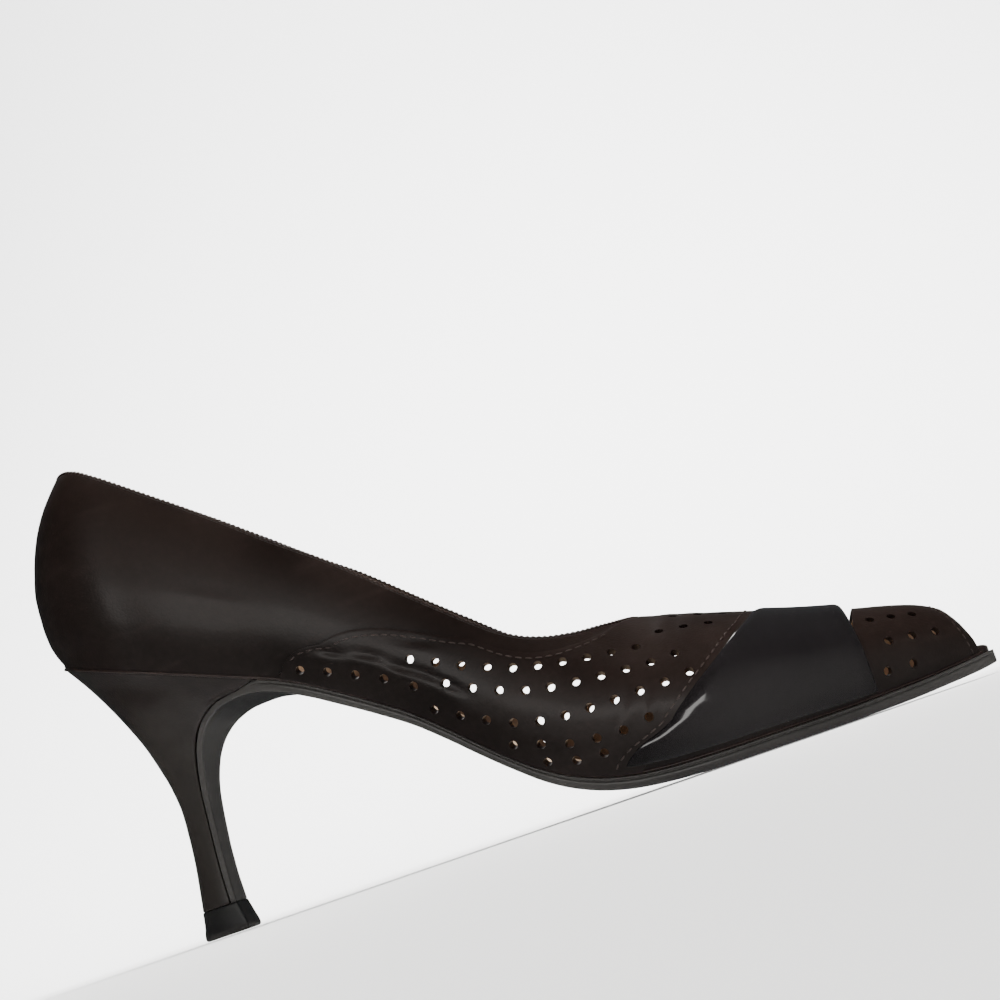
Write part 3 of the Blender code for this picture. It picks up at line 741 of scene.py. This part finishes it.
def stitch_row(body, path, side, lift, pitch=2.6, length=1.9, thick=0.42):
    """Thread stitches along a list of (x, share) points on the upper."""
    points = [surface_frame(x, share, side) for x, share in path]
    travelled = 0.0
    next_at = pitch / 2
    for (p, normal), (q, _) in zip(points, points[1:]):
        step = (q - p).length
        while step > 0 and next_at <= travelled + step:
            centre = p.lerp(q, (next_at - travelled) / step)
            turn = Vector((1, 0, 0)).rotation_difference((q - p).normalized()).to_matrix().to_4x4()
            depth = crease_depth(centre)
            spot = Matrix.Translation(place(centre + normal * (lift + depth))) @ turn
            size = Matrix.Diagonal((length * MM, thick * MM, thick * MM, 1))
            bmesh.ops.create_uvsphere(body, u_segments=8, v_segments=6, radius=0.5, matrix=spot @ size)
            next_at += pitch
        travelled += step


def stitching(thread):
    """Rows of thread: along the vamp seam, behind the band and round the toe opening."""
    body = bmesh.new()
    steps = [k / 120 for k in range(121)]
    on_panel, on_shell = 0.68, 0.05
    below_seam, from_edge = 0.020, 2.2
    first, last = SEAM[0][0] + 4.0, SEAM_TURN_X
    for side in (-1, 1):
        seam = [first + (last - first) * t for t in steps]
        stitch_row(body, [(x, seam_share(x) - below_seam) for x in seam], side, on_panel)
        shares = [0.04 + 0.92 * t for t in steps]
        stitch_row(body, [(smooth(BAND_REAR, s) - from_edge, s) for s in shares], side, on_panel)
        rim = [(smooth(RIM, s) - from_edge, s) for s in shares]
        stitch_row(body, rim, side, on_shell, 2.2, 1.5, 0.36)
    return finish_mesh("thread_rows", body, [], [thread])


# Sole, heel and top piece

SOLE_ROWS = [(float(i), *row) for i, row in enumerate(SOLE)]
# Beaded and grooved edge of the sole: inset, height from the foot to the top
SOLE_EDGE = [
    (1.4, 1.0), (0.7, 1.0), (0.3, 0.985), (0.06, 0.95), (0.0, 0.90), (0.05, 0.85), (0.28, 0.80),
    (0.5, 0.775), (0.55, 0.735), (0.34, 0.69), (0.12, 0.64), (0.05, 0.57), (0.02, 0.45), (0.08, 0.33),
    (0.24, 0.20), (0.55, 0.09), (1.0, 0.03), (1.8, 0.0),
]
PLAIN_EDGE = [(inset if inset > 0.6 else 0.0, level) for inset, level in SOLE_EDGE]
SOLE_EDGE_WIDTH = 1.8
# The edge is plain on the breast and carved from here on
EDGE_CARVED = {"x": 30.0, "length": 16.0}
HEEL_FRONT_STEPS = 6


def sole_line(row):
    """Outer and inner point of the sole's side line at a row or between two, and both half widths."""
    x, z, lateral, medial = (smooth(SOLE_ROWS, row, k) for k in (1, 2, 3, 4))
    step = 0.05
    along_x = smooth(SOLE_ROWS, row + step, 1) - smooth(SOLE_ROWS, row - step, 1)
    along_z = smooth(SOLE_ROWS, row + step, 2) - smooth(SOLE_ROWS, row - step, 2)
    length = math.hypot(along_x, along_z)
    inner_x, inner_z = x - along_z / length * FLAP_THICK, z + along_x / length * FLAP_THICK
    reach = ramp(x, FLAP_TOP_X, SHANK_X - FLAP_TOP_X)
    inner_x += reach * (x - inner_x)
    inner_z += reach * (feather_z(inner_x) - GAP - inner_z)
    return (x, z), (inner_x, inner_z), lateral, medial


def section_loop(edge_count, reach, level):
    """Section of the sole or sock: its edges, a face at this level from 0 to 1, and the opposite face."""
    loop = [("edge", -1, k) for k in range(edge_count)]
    loop += [("across", -reach + 2 * reach * k / 14, level) for k in range(15)]
    loop += [("edge", 1, k) for k in reversed(range(edge_count))]
    loop += [("across", 0.8 - 1.6 * k / 4, 1.0 - level) for k in range(5)]
    return loop


def outsole(finish):
    """Sole with a beaded and grooved edge, from the toe along the shank and down the breast of the heel."""
    last_row = len(SOLE) - 1

    def spot(along, item):
        outer, inner, lateral, medial = sole_line(along * last_row)
        carved = ramp(outer[0], EDGE_CARVED["x"], EDGE_CARVED["length"])
        middle, half = (medial - lateral) / 2, (medial + lateral) / 2
        kind, value, third = item
        if kind == "edge":
            plain, cut = PLAIN_EDGE[third], SOLE_EDGE[third]
            inset = min(plain[0] + (cut[0] - plain[0]) * carved, 0.7 * half)
            depth = cut[1]
            y = middle + value * (half - inset)
        else:
            y = middle + value * (half - SOLE_EDGE_WIDTH)
            depth = third
        x = outer[0] + (inner[0] - outer[0]) * depth
        z = outer[1] + (inner[1] - outer[1]) * depth
        return Vector((x, y, z))

    body = swept_body(260, section_loop(len(SOLE_EDGE), 0.92, 0.0), spot)
    return finish_mesh("leather_sole", body, ["outsole"], [finish])


def heel_section(turn):
    """Share of the way to the front, side and share of the half width at a turn round the heel's back."""
    along = 1 - math.sin(turn) ** HEEL_BACK_POWER
    width = (1 - (1 - along) ** HEEL_SIDE_POWER) ** (1 / HEEL_SIDE_POWER)
    return along, -1 if turn < math.pi / 2 else 1, width


def heel_spot(row, turn):
    """Point of one row of the heel: turn runs from the lateral front edge round to the medial one."""
    along, side, width = heel_section(turn)
    if row == len(HEEL):
        back = BACK_X + SEAT_LEAN
        x = back + (SEAT_FRONT_X - back) * along
        half = smooth(LAST, x, 1 if side < 0 else 2)
        return Vector((x, side * half * heel_round(x, SEAT_LEAN), feather_z(x) - GAP))
    back_x, back_z, front_x, front_z, half = HEEL[row]
    x, z = back_x + (front_x - back_x) * along, back_z + (front_z - back_z) * along
    return Vector((x, side * half * width, z))


def heel_body(rows, turns, ring_at):
    """A closed solid with its round side at ring_at(along, turn's number) and a flat front."""
    loop = [("round", k) for k in range(turns + 1)] + [("front", k) for k in range(1, HEEL_FRONT_STEPS)]

    def spot(along, item):
        kind, k = item
        if kind == "round":
            return ring_at(along, k)
        return ring_at(along, turns).lerp(ring_at(along, 0), k / HEEL_FRONT_STEPS)

    return swept_body(rows, loop, spot)


def covered_heel(cover):
    """The leather covered heel, flat to the front and round at the back."""
    turns = 72
    tables = []
    for k in range(turns + 1):
        spots = [heel_spot(row, math.pi * k / turns) for row in range(len(HEEL) + 1)]
        tables.append([(float(row), *spot) for row, spot in enumerate(spots)])

    def ring_at(along, k):
        return Vector([smooth(tables[k], along * len(HEEL), column) for column in (1, 2, 3)])

    piece = finish_mesh("covered_heel", heel_body(110, turns, ring_at), ["heel"], [cover])
    round_edges(piece, 0.35, 3, 50.0)
    return piece


def top_piece(rubber):
    """The rubber top piece under the heel tip."""
    turns = 56

    def ring_at(along, k):
        z = (LIFT[-1][0] + LIFT_SEATED) * along
        back, front, half = (smooth(LIFT, z, column) for column in (1, 2, 3))
        share, side, width = heel_section(math.pi * k / turns)
        return Vector((back + (front - back) * share, side * half * width, z))

    body = heel_body(14, turns, ring_at)
    piece = finish_mesh("rubber_top_piece", body, ["top_piece"], [rubber])
    round_edges(piece, 0.5, 3, 50.0)
    return piece


def sock(sock_leather, edge_leather):
    """The insole board with its leather sock, a little raised under the heel and hollow under the ball."""
    back = BACK_X + SEAT_LEAN + WALL + 2 * GAP
    front = INSOLE_TIP_X
    edge = [(0.0, 0.0), (0.0, 0.75), (0.12, 0.9), (0.45, 1.0), (1.2, 1.0)]

    def spot(along, item):
        x = back + (front - back) * (0.5 - 0.5 * math.cos(math.pi * along))
        drawn = INSOLE_TIP_NARROWING * ramp(x, front - INSOLE_TIP_ROUND, INSOLE_TIP_ROUND) ** 2
        halves = [smooth(LAST, x, column) - WALL - SOCK_SLACK - drawn for column in (1, 2)]
        if x < HEEL_CENTRE_X:
            part = (HEEL_CENTRE_X - x) / (HEEL_CENTRE_X - back)
            halves = [half * max(0.04, math.sqrt(max(0.0, 1.0 - part * part))) for half in halves]
        lateral, medial = halves
        middle, half = (medial - lateral) / 2, (medial + lateral) / 2
        kind, value, third = item
        if kind == "edge":
            inset, level = edge[third]
            y = middle + value * (half - min(inset, 0.5 * half))
        else:
            y, level = middle + value * max(half - edge[-1][0], 0.5 * half), third
        swell = 0.0
        if level > 0.95:
            reach = 1.0 - min(1.0, abs(y - middle) / max(half, 0.1)) ** 2
            for height, swell_x, length in SOCK_SWELLS:
                swell += height * reach * math.exp(-((x - swell_x) / length) ** 2)
        bedded = (GAP + INSOLE_REST) * (1 - level) * ramp(x, INSOLE_BED["x"], INSOLE_BED["length"])
        thinned = ramp(x, front - INSOLE_TIP_THIN["length"], INSOLE_TIP_THIN["length"])
        thick = INSOLE_THICK * (1 - INSOLE_TIP_THIN["by"] * thinned ** 2)
        return Vector((x, y, feather_z(x) + INSOLE_REST + thick * level + swell - bedded))

    body = swept_body(150, section_loop(len(edge), 0.9, 1.0), spot)
    for face in body.faces:
        middle = face.calc_center_median()
        lip = middle.x / MM - SHIFT_X > INSOLE_LIP_X
        face.material_index = 1 if lip or abs(face.normal.z) < 0.6 else 0
    return finish_mesh("leather_sock", body, ["insole"], [sock_leather, edge_leather])


# Finishes

def new_group(name, inputs, outputs):
    """A shader node group with these sockets, and its group input and output nodes."""
    tree = bpy.data.node_groups.new(name, "ShaderNodeTree")
    for label, kind in inputs:
        tree.interface.new_socket(label, in_out="INPUT", socket_type=kind)
    for label, kind in outputs:
        tree.interface.new_socket(label, in_out="OUTPUT", socket_type=kind)
    return tree, tree.nodes.new("NodeGroupInput"), tree.nodes.new("NodeGroupOutput")


def add_noise(tree, coordinate, scale, detail, stretch=None):
    """A noise texture on a coordinate, stretched by a mapping where asked."""
    if stretch:
        mapping = tree.nodes.new("ShaderNodeMapping")
        mapping.inputs["Scale"].default_value = stretch
        tree.links.new(coordinate, mapping.inputs["Vector"])
        coordinate = mapping.outputs["Vector"]
    texture = tree.nodes.new("ShaderNodeTexNoise")
    texture.inputs["Scale"].default_value = scale
    texture.inputs["Detail"].default_value = detail
    tree.links.new(coordinate, texture.inputs["Vector"])
    return texture.outputs["Fac"]


def ranged(tree, value, low, high, to_low=0.0, to_high=1.0):
    """The value mapped from one range to another and kept inside it."""
    node = tree.nodes.new("ShaderNodeMapRange")
    for label, number in (("From Min", low), ("From Max", high), ("To Min", to_low), ("To Max", to_high)):
        node.inputs[label].default_value = number
    tree.links.new(value, node.inputs["Value"])
    return node.outputs["Result"]


def combined(tree, operation, first, second):
    """A math node on two sockets or numbers."""
    node = tree.nodes.new("ShaderNodeMath")
    node.operation = operation
    for slot, value in zip(node.inputs, (first, second)):
        if isinstance(value, (int, float)):
            slot.default_value = value
        else:
            tree.links.new(value, slot)
    return node.outputs["Value"]


def times(tree, first, second):
    return combined(tree, "MULTIPLY", first, second)


def vector_math(tree, operation, *values):
    """A vector math node on sockets or fixed vectors."""
    node = tree.nodes.new("ShaderNodeVectorMath")
    node.operation = operation
    for slot, value in zip(node.inputs, values):
        if isinstance(value, tuple):
            slot.default_value = value
        else:
            tree.links.new(value, slot)
    return node


def mixed(tree, mask, first, second):
    """Two colours or sockets mixed by a mask."""
    node = tree.nodes.new("ShaderNodeMix")
    node.data_type = "RGBA"
    tree.links.new(mask, node.inputs["Factor"])
    for slot, value in ((node.inputs[6], first), (node.inputs[7], second)):
        if isinstance(value, tuple):
            slot.default_value = (*value, 1.0)
        else:
            tree.links.new(value, slot)
    return node.outputs[2]


def grain_group():
    """Leather grain: pore height, slow patches of tone, and fine scuffs along the shoe."""
    vector, number = "NodeSocketVector", "NodeSocketFloat"
    tree, given, result = new_group(
        "leather_grain",
        [("Coordinate", vector), ("Pore Scale", number)],
        [("Height", number), ("Patches", number), ("Scuffs", number)],
    )
    where = given.outputs["Coordinate"]
    pores = tree.nodes.new("ShaderNodeTexVoronoi")
    pores.feature = "DISTANCE_TO_EDGE"
    tree.links.new(where, pores.inputs["Vector"])
    tree.links.new(given.outputs["Pore Scale"], pores.inputs["Scale"])
    creased = ranged(tree, pores.outputs["Distance"], 0.0, 0.25)
    fine = add_noise(tree, where, 420.0, 6.0)
    height = combined(tree, "ADD", times(tree, creased, 0.55), fine)
    tree.links.new(height, result.inputs["Height"])
    tree.links.new(add_noise(tree, where, 24.0, 6.0), result.inputs["Patches"])
    lines = add_noise(tree, where, 95.0, 5.0, (0.35, 1.0, 2.6))
    tree.links.new(ranged(tree, lines, 0.60, 0.82), result.inputs["Scuffs"])
    return tree


def spot_group():
    """A place of wear, painted sheen or painted shade: an ellipsoid round a centre, with its border broken
    up by noise.
    """
    vector, number = "NodeSocketVector", "NodeSocketFloat"
    tree, given, result = new_group(
        "wear_and_light_place", [("Coordinate", vector), ("Centre", vector), ("Reach", vector)], [("Mask", number)])
    where = given.outputs["Coordinate"]
    away = vector_math(tree, "SUBTRACT", where, given.outputs["Centre"])
    share = vector_math(tree, "DIVIDE", away.outputs["Vector"], given.outputs["Reach"])
    size = vector_math(tree, "LENGTH", share.outputs["Vector"])
    broken = times(tree, add_noise(tree, where, 90.0, 8.0), 0.9)
    edge = combined(tree, "ADD", size.outputs["Value"], broken)
    tree.links.new(ranged(tree, edge, 1.05, 1.5, 1.0, 0.0), result.inputs["Mask"])
    return tree


def new_finish(name, pore_scale):
    """A material with its shader, the object coordinate and the leather grain ready to link."""
    made = bpy.data.materials.new(name)
    made.use_nodes = True
    tree = made.node_tree
    where = tree.nodes.new("ShaderNodeTexCoord").outputs["Object"]
    grain = tree.nodes.new("ShaderNodeGroup")
    grain.node_tree = bpy.data.node_groups["leather_grain"]
    grain.inputs["Pore Scale"].default_value = pore_scale
    tree.links.new(where, grain.inputs["Coordinate"])
    return made, tree, tree.nodes["Principled BSDF"], where, grain


def dress(tree, shader, values):
    """Sets the shader's inputs by name, from fixed values or sockets."""
    for label, value in values.items():
        if isinstance(value, (float, tuple)):
            shader.inputs[label].default_value = value
        else:
            tree.links.new(value, shader.inputs[label])


# Mask for a place of real wear, of painted sheen or of painted shade.
def wear_and_light_place(tree, where, centre, reach):
    spot = tree.nodes.new("ShaderNodeGroup")
    spot.node_tree = bpy.data.node_groups["wear_and_light_place"]
    spot.inputs["Centre"].default_value = ((centre[0] + SHIFT_X) * MM, centre[1] * MM, centre[2] * MM)
    spot.inputs["Reach"].default_value = [size * MM for size in reach]
    tree.links.new(where, spot.inputs["Coordinate"])
    return spot.outputs["Mask"]


def relief(tree, shader, height, strength, distance):
    bump = tree.nodes.new("ShaderNodeBump")
    bump.inputs["Strength"].default_value = strength
    bump.inputs["Distance"].default_value = distance * MM
    tree.links.new(height, bump.inputs["Height"])
    tree.links.new(bump.outputs["Normal"], shader.inputs["Normal"])


def calf_finish(name, dark, light, rough, specular, coat, painted_sheen=()):
    """Smooth calf leather with a slightly uneven tone and gloss, fine pores, scuffs, and places painted
    lighter as a painted sheen.
    """
    made, tree, shader, where, grain = new_finish(name, 900.0)
    patches, scuffs = grain.outputs["Patches"], grain.outputs["Scuffs"]
    tone = mixed(tree, ranged(tree, patches, 0.36, 0.66), dark, light)
    worn = tuple(channel * 2.2 for channel in light)
    tone = mixed(tree, times(tree, scuffs, 0.35), tone, worn)
    # Each of these places is painted a lighter tone: a painted sheen.
    for centre, reach, sheen_tone in painted_sheen:
        tone = mixed(tree, wear_and_light_place(tree, where, centre, reach), tone, sheen_tone)
    drift = ranged(tree, patches, 0.3, 0.7, *rough)
    gloss = combined(tree, "ADD", drift, times(tree, scuffs, 0.12))
    relief(tree, shader, grain.outputs["Height"], 0.10, 0.3)
    dress(tree, shader, {
        "Base Color": tone, "Roughness": gloss, "Specular IOR Level": specular,
        "Coat Weight": coat, "Coat Roughness": 0.16,
    })
    return made


def patent_finish():
    """Lacquered leather: near black under a mirror gloss, slightly uneven and with hairline scratches."""
    made, tree, shader, where, grain = new_finish("patent_leather", 260.0)
    dark, light = (0.0055, 0.005, 0.0055), (0.011, 0.0095, 0.010)
    tone = mixed(tree, ranged(tree, grain.outputs["Patches"], 0.35, 0.7), dark, light)
    gloss = combined(tree, "ADD", times(tree, grain.outputs["Scuffs"], 0.10), 0.12)
    relief(tree, shader, add_noise(tree, where, 55.0, 1.0), 0.06, 0.3)
    dress(tree, shader, {
        "Base Color": tone, "Roughness": gloss, "Coat Weight": 0.6, "Coat Roughness": 0.09,
    })
    return made


def lining_finish(name, dark, light, imprints_and_shade):
    """Soft lining leather, darkened in given places: where a foot has rested, and as painted shade low
    inside the shell.
    """
    made, tree, shader, where, grain = new_finish(name, 700.0)
    trodden_and_shade_tone = (0.075, 0.048, 0.032)
    tone = mixed(tree, ranged(tree, grain.outputs["Patches"], 0.35, 0.65), dark, light)
    # These places darken the tone: where a foot has rested, and as painted shade.
    for centre, reach, share in imprints_and_shade:
        mask = times(tree, wear_and_light_place(tree, where, centre, reach), share)
        tone = mixed(tree, mask, tone, trodden_and_shade_tone)
    relief(tree, shader, grain.outputs["Height"], 0.16, 0.3)
    dress(tree, shader, {"Base Color": tone, "Roughness": 0.62, "Specular IOR Level": 0.3})
    return made


def sole_finish():
    """Black painted sole leather, satin at the edge and painted a lighter grey there as a painted sheen,
    scuffed through to tan where it is walked on.
    """
    made, tree, shader, where, grain = new_finish("painted_sole", 500.0)
    patches = ranged(tree, grain.outputs["Patches"], 0.35, 0.68)
    # The sides get a lighter grey than the foot: a painted sheen.
    edge_sheen_tone = mixed(tree, patches, (0.036, 0.034, 0.032), (0.052, 0.049, 0.046))
    foot_tone = mixed(tree, patches, (0.013, 0.012, 0.012), (0.028, 0.026, 0.025))
    split = tree.nodes.new("ShaderNodeSeparateXYZ")
    geometry = tree.nodes.new("ShaderNodeNewGeometry")
    tree.links.new(geometry.outputs["Normal"], split.inputs["Vector"])
    under = ranged(tree, split.outputs["Z"], -0.97, -0.80, 1.0, 0.0)
    tone = mixed(tree, under, edge_sheen_tone, foot_tone)
    streaks = ranged(tree, add_noise(tree, where, 60.0, 9.0, (0.5, 1.0, 1.0)), 0.42, 0.62)
    places = [
        ((158.0, 3.0, 0.0), (34.0, 27.0, 40.0), 0.95),
        ((197.0, 5.0, 0.0), (17.0, 14.0, 40.0), 0.85),
        ((128.0, 2.0, 0.0), (22.0, 26.0, 40.0), 0.35),
    ]
    spots = 0.0
    for centre, reach, share in places:
        spot = times(tree, wear_and_light_place(tree, where, centre, reach), share)
        spots = combined(tree, "MAXIMUM", spots, spot)
    worn = times(tree, under, times(tree, spots, streaks))
    tan = mixed(tree, grain.outputs["Scuffs"], (0.155, 0.105, 0.066), (0.26, 0.185, 0.12))
    satin = ranged(tree, patches, 0.0, 1.0, 0.26, 0.36)
    rough = combined(tree, "ADD", times(tree, worn, 0.35), satin)
    height = times(tree, grain.outputs["Height"], ranged(tree, under, 0.0, 1.0, 0.25, 1.0))
    relief(tree, shader, height, 0.22, 0.3)
    dress(tree, shader, {"Base Color": mixed(tree, worn, tone, tan), "Roughness": rough})
    return made


def rubber_finish():
    """Black rubber with a dull, scraped foot."""
    made, tree, shader, where, grain = new_finish("top_piece_rubber", 1500.0)
    foot = wear_and_light_place(tree, where, (0.5, 0.0, 0.0), (12.0, 12.0, 2.2))
    dark, light, scraped = (0.009, 0.009, 0.009), (0.018, 0.018, 0.018), (0.065, 0.06, 0.055)
    tone = mixed(tree, ranged(tree, grain.outputs["Patches"], 0.35, 0.68), dark, light)
    tone = mixed(tree, times(tree, foot, 0.6), tone, scraped)
    relief(tree, shader, grain.outputs["Height"], 0.18, 0.2)
    dress(tree, shader, {"Base Color": tone, "Roughness": ranged(tree, foot, 0.0, 1.0, 0.38, 0.75)})
    return made


# Camera, light and floor

def camera():
    data = bpy.data.cameras.new("camera")
    view = bpy.data.objects.new("camera", data)
    bpy.context.scene.collection.objects.link(view)
    bpy.context.scene.camera = view
    aim = Vector((CAMERA["aim_x"], 0.0, CAMERA["aim_z"])) * MM
    azimuth = math.radians(CAMERA["azimuth"])
    reach = CAMERA["distance"] * MM
    view.location = (aim.x + math.sin(azimuth) * reach, -math.cos(azimuth) * reach, CAMERA["height"] * MM)
    look = (aim - view.location).to_track_quat("-Z", "Y")
    roll = Matrix.Rotation(math.radians(-CAMERA["roll"]), 3, "Z").to_quaternion()
    view.rotation_mode = "QUATERNION"
    view.rotation_quaternion = look @ roll
    data.sensor_width = 36.0
    data.lens = CAMERA["lens"]
    data.clip_start = 0.01
    data.clip_end = 50.0


def room_light():
    """A dim room with one soft light place."""
    world = bpy.data.worlds.new("studio")
    bpy.context.scene.world = world
    world.use_nodes = True
    tree = world.node_tree
    split = tree.nodes.new("ShaderNodeSeparateXYZ")
    direction = tree.nodes.new("ShaderNodeTexCoord").outputs["Generated"]
    tree.links.new(direction, split.inputs["Vector"])
    room = tree.nodes.new("ShaderNodeValToRGB")
    while len(room.color_ramp.elements) < len(ROOM):
        room.color_ramp.elements.new(0.5)
    for element, (height, level) in zip(room.color_ramp.elements, ROOM):
        element.position = height
        element.color = (level * 0.96, level * 0.98, level, 1)
    tree.links.new(ranged(tree, split.outputs["Z"], -1.0, 1.0), room.inputs["Fac"])
    away = vector_math(tree, "DISTANCE", direction, GLOW["towards"])
    near = ranged(tree, away.outputs["Value"], 0.0, GLOW["reach"], 1.0, 0.0)
    near = times(tree, near, combined(tree, "SUBTRACT", 2.0, near))
    lit = mixed(tree, near, room.outputs["Color"], GLOW["colour"])
    tree.links.new(lit, tree.nodes["Background"].inputs["Color"])


def lamps():
    """Soft lamps, of which only the key and the rim show in the gloss."""
    for name, spot, size, power, colour in LAMPS:
        lamp = bpy.data.lights.new(name, "AREA")
        lamp.shape = "RECTANGLE"
        lamp.size, lamp.size_y = size
        lamp.energy = power
        lamp.color = colour
        light = bpy.data.objects.new(name, lamp)
        light.location = spot
        light.rotation_mode = "QUATERNION"
        target = Vector(BACKDROP_AIM if name == "backdrop_light" else LAMP_AIM)
        light.rotation_quaternion = (target - light.location).to_track_quat("-Z", "Y")
        light.visible_glossy = name in ("key_softbox", "rim_softbox")
        bpy.context.scene.collection.objects.link(light)


def paper_floor():
    """A pale floor that sweeps up behind the shoe."""
    body = bmesh.new()
    made = bmesh.ops.create_grid(body, x_segments=2, y_segments=80, size=0.5)
    bend_y, bend = SWEEP["bend_y"], SWEEP["bend"]
    for vertex in made["verts"]:
        run = (vertex.co.y + 0.5) * SWEEP["length"] - SWEEP["in_front"]
        turn = max(0.0, min(math.pi / 2, (run - bend_y) / bend))
        y = min(run, bend_y) + bend * math.sin(turn)
        z = bend * (1 - math.cos(turn)) + max(0.0, run - bend_y - bend * math.pi / 2)
        vertex.co = Vector((vertex.co.x * SWEEP["width"], y, z - SWEEP["drop"]))
    sweep = new_object("studio_sweep", body)
    paper = bpy.data.materials.new("pale_paper")
    paper.use_nodes = True
    dress(paper.node_tree, paper.node_tree.nodes["Principled BSDF"], {
        "Base Color": (0.88, 0.88, 0.88, 1), "Roughness": 0.9, "Specular IOR Level": 0.0,
        "Emission Color": (1, 1, 1, 1), "Emission Strength": PAPER_GLOW,
    })
    sweep.data.materials.append(paper)
    sweep.visible_glossy = False


camera()
room_light()
lamps()
paper_floor()
grain_group()
spot_group()
calf = calf_finish(
    "dark_calf", (0.0085, 0.0052, 0.0043), (0.0155, 0.0096, 0.008), (0.36, 0.46), specular=0.32, coat=0.10,
)
# The heel cover is painted lighter low on the stem: a painted sheen.
heel_calf = calf_finish(
    "heel_cover_calf", (0.009, 0.0062, 0.0053), (0.015, 0.0105, 0.009), (0.24, 0.34),
    specular=0.42, coat=0.35, painted_sheen=[((2.0, -5.0, 16.0), (40.0, 30.0, 56.0), (0.024, 0.0205, 0.018))],
)
edge_calf = calf_finish(
    "edge_calf", (0.016, 0.010, 0.0085), (0.028, 0.018, 0.015), (0.28, 0.38), specular=0.5, coat=0.2,
)
thread = calf_finish(
    "waxed_thread", (0.030, 0.021, 0.018), (0.050, 0.036, 0.031), (0.35, 0.45), specular=0.5, coat=0.1,
)
patent = patent_finish()
# The first place darkens the lining low inside the back; the other two darken it low inside the waist and
# forefoot as painted shade.
lining = lining_finish("beige_lining", (0.40, 0.30, 0.215), (0.50, 0.39, 0.29), [
    ((0.0, 0.0, 62.0), (40.0, 40.0, 22.0), 0.25),
    ((108.0, 28.0, 14.0), (64.0, 34.0, 25.0), 0.97),
    ((66.0, 24.0, 44.0), (56.0, 34.0, 24.0), 0.97),
])
sock_leather = lining_finish("beige_sock", (0.38, 0.285, 0.20), (0.48, 0.37, 0.275), [
    ((6.0, 0.0, 76.0), (24.0, 20.0, 30.0), 0.55),
    ((148.0, 2.0, 6.0), (30.0, 30.0, 20.0), 0.60),
    ((198.0, 6.0, 6.0), (12.0, 11.0, 20.0), 0.55),
])

punch = punch_tool()
upper_shell(punch, calf, lining)
vamp_panel(punch, calf)
bpy.data.objects.remove(punch)
patent_band(patent)
stitching(thread)
topline_bead(edge_calf)
feather_bead(edge_calf)
sock(sock_leather, edge_calf)
outsole(sole_finish())
covered_heel(heel_calf)
top_piece(rubber_finish())
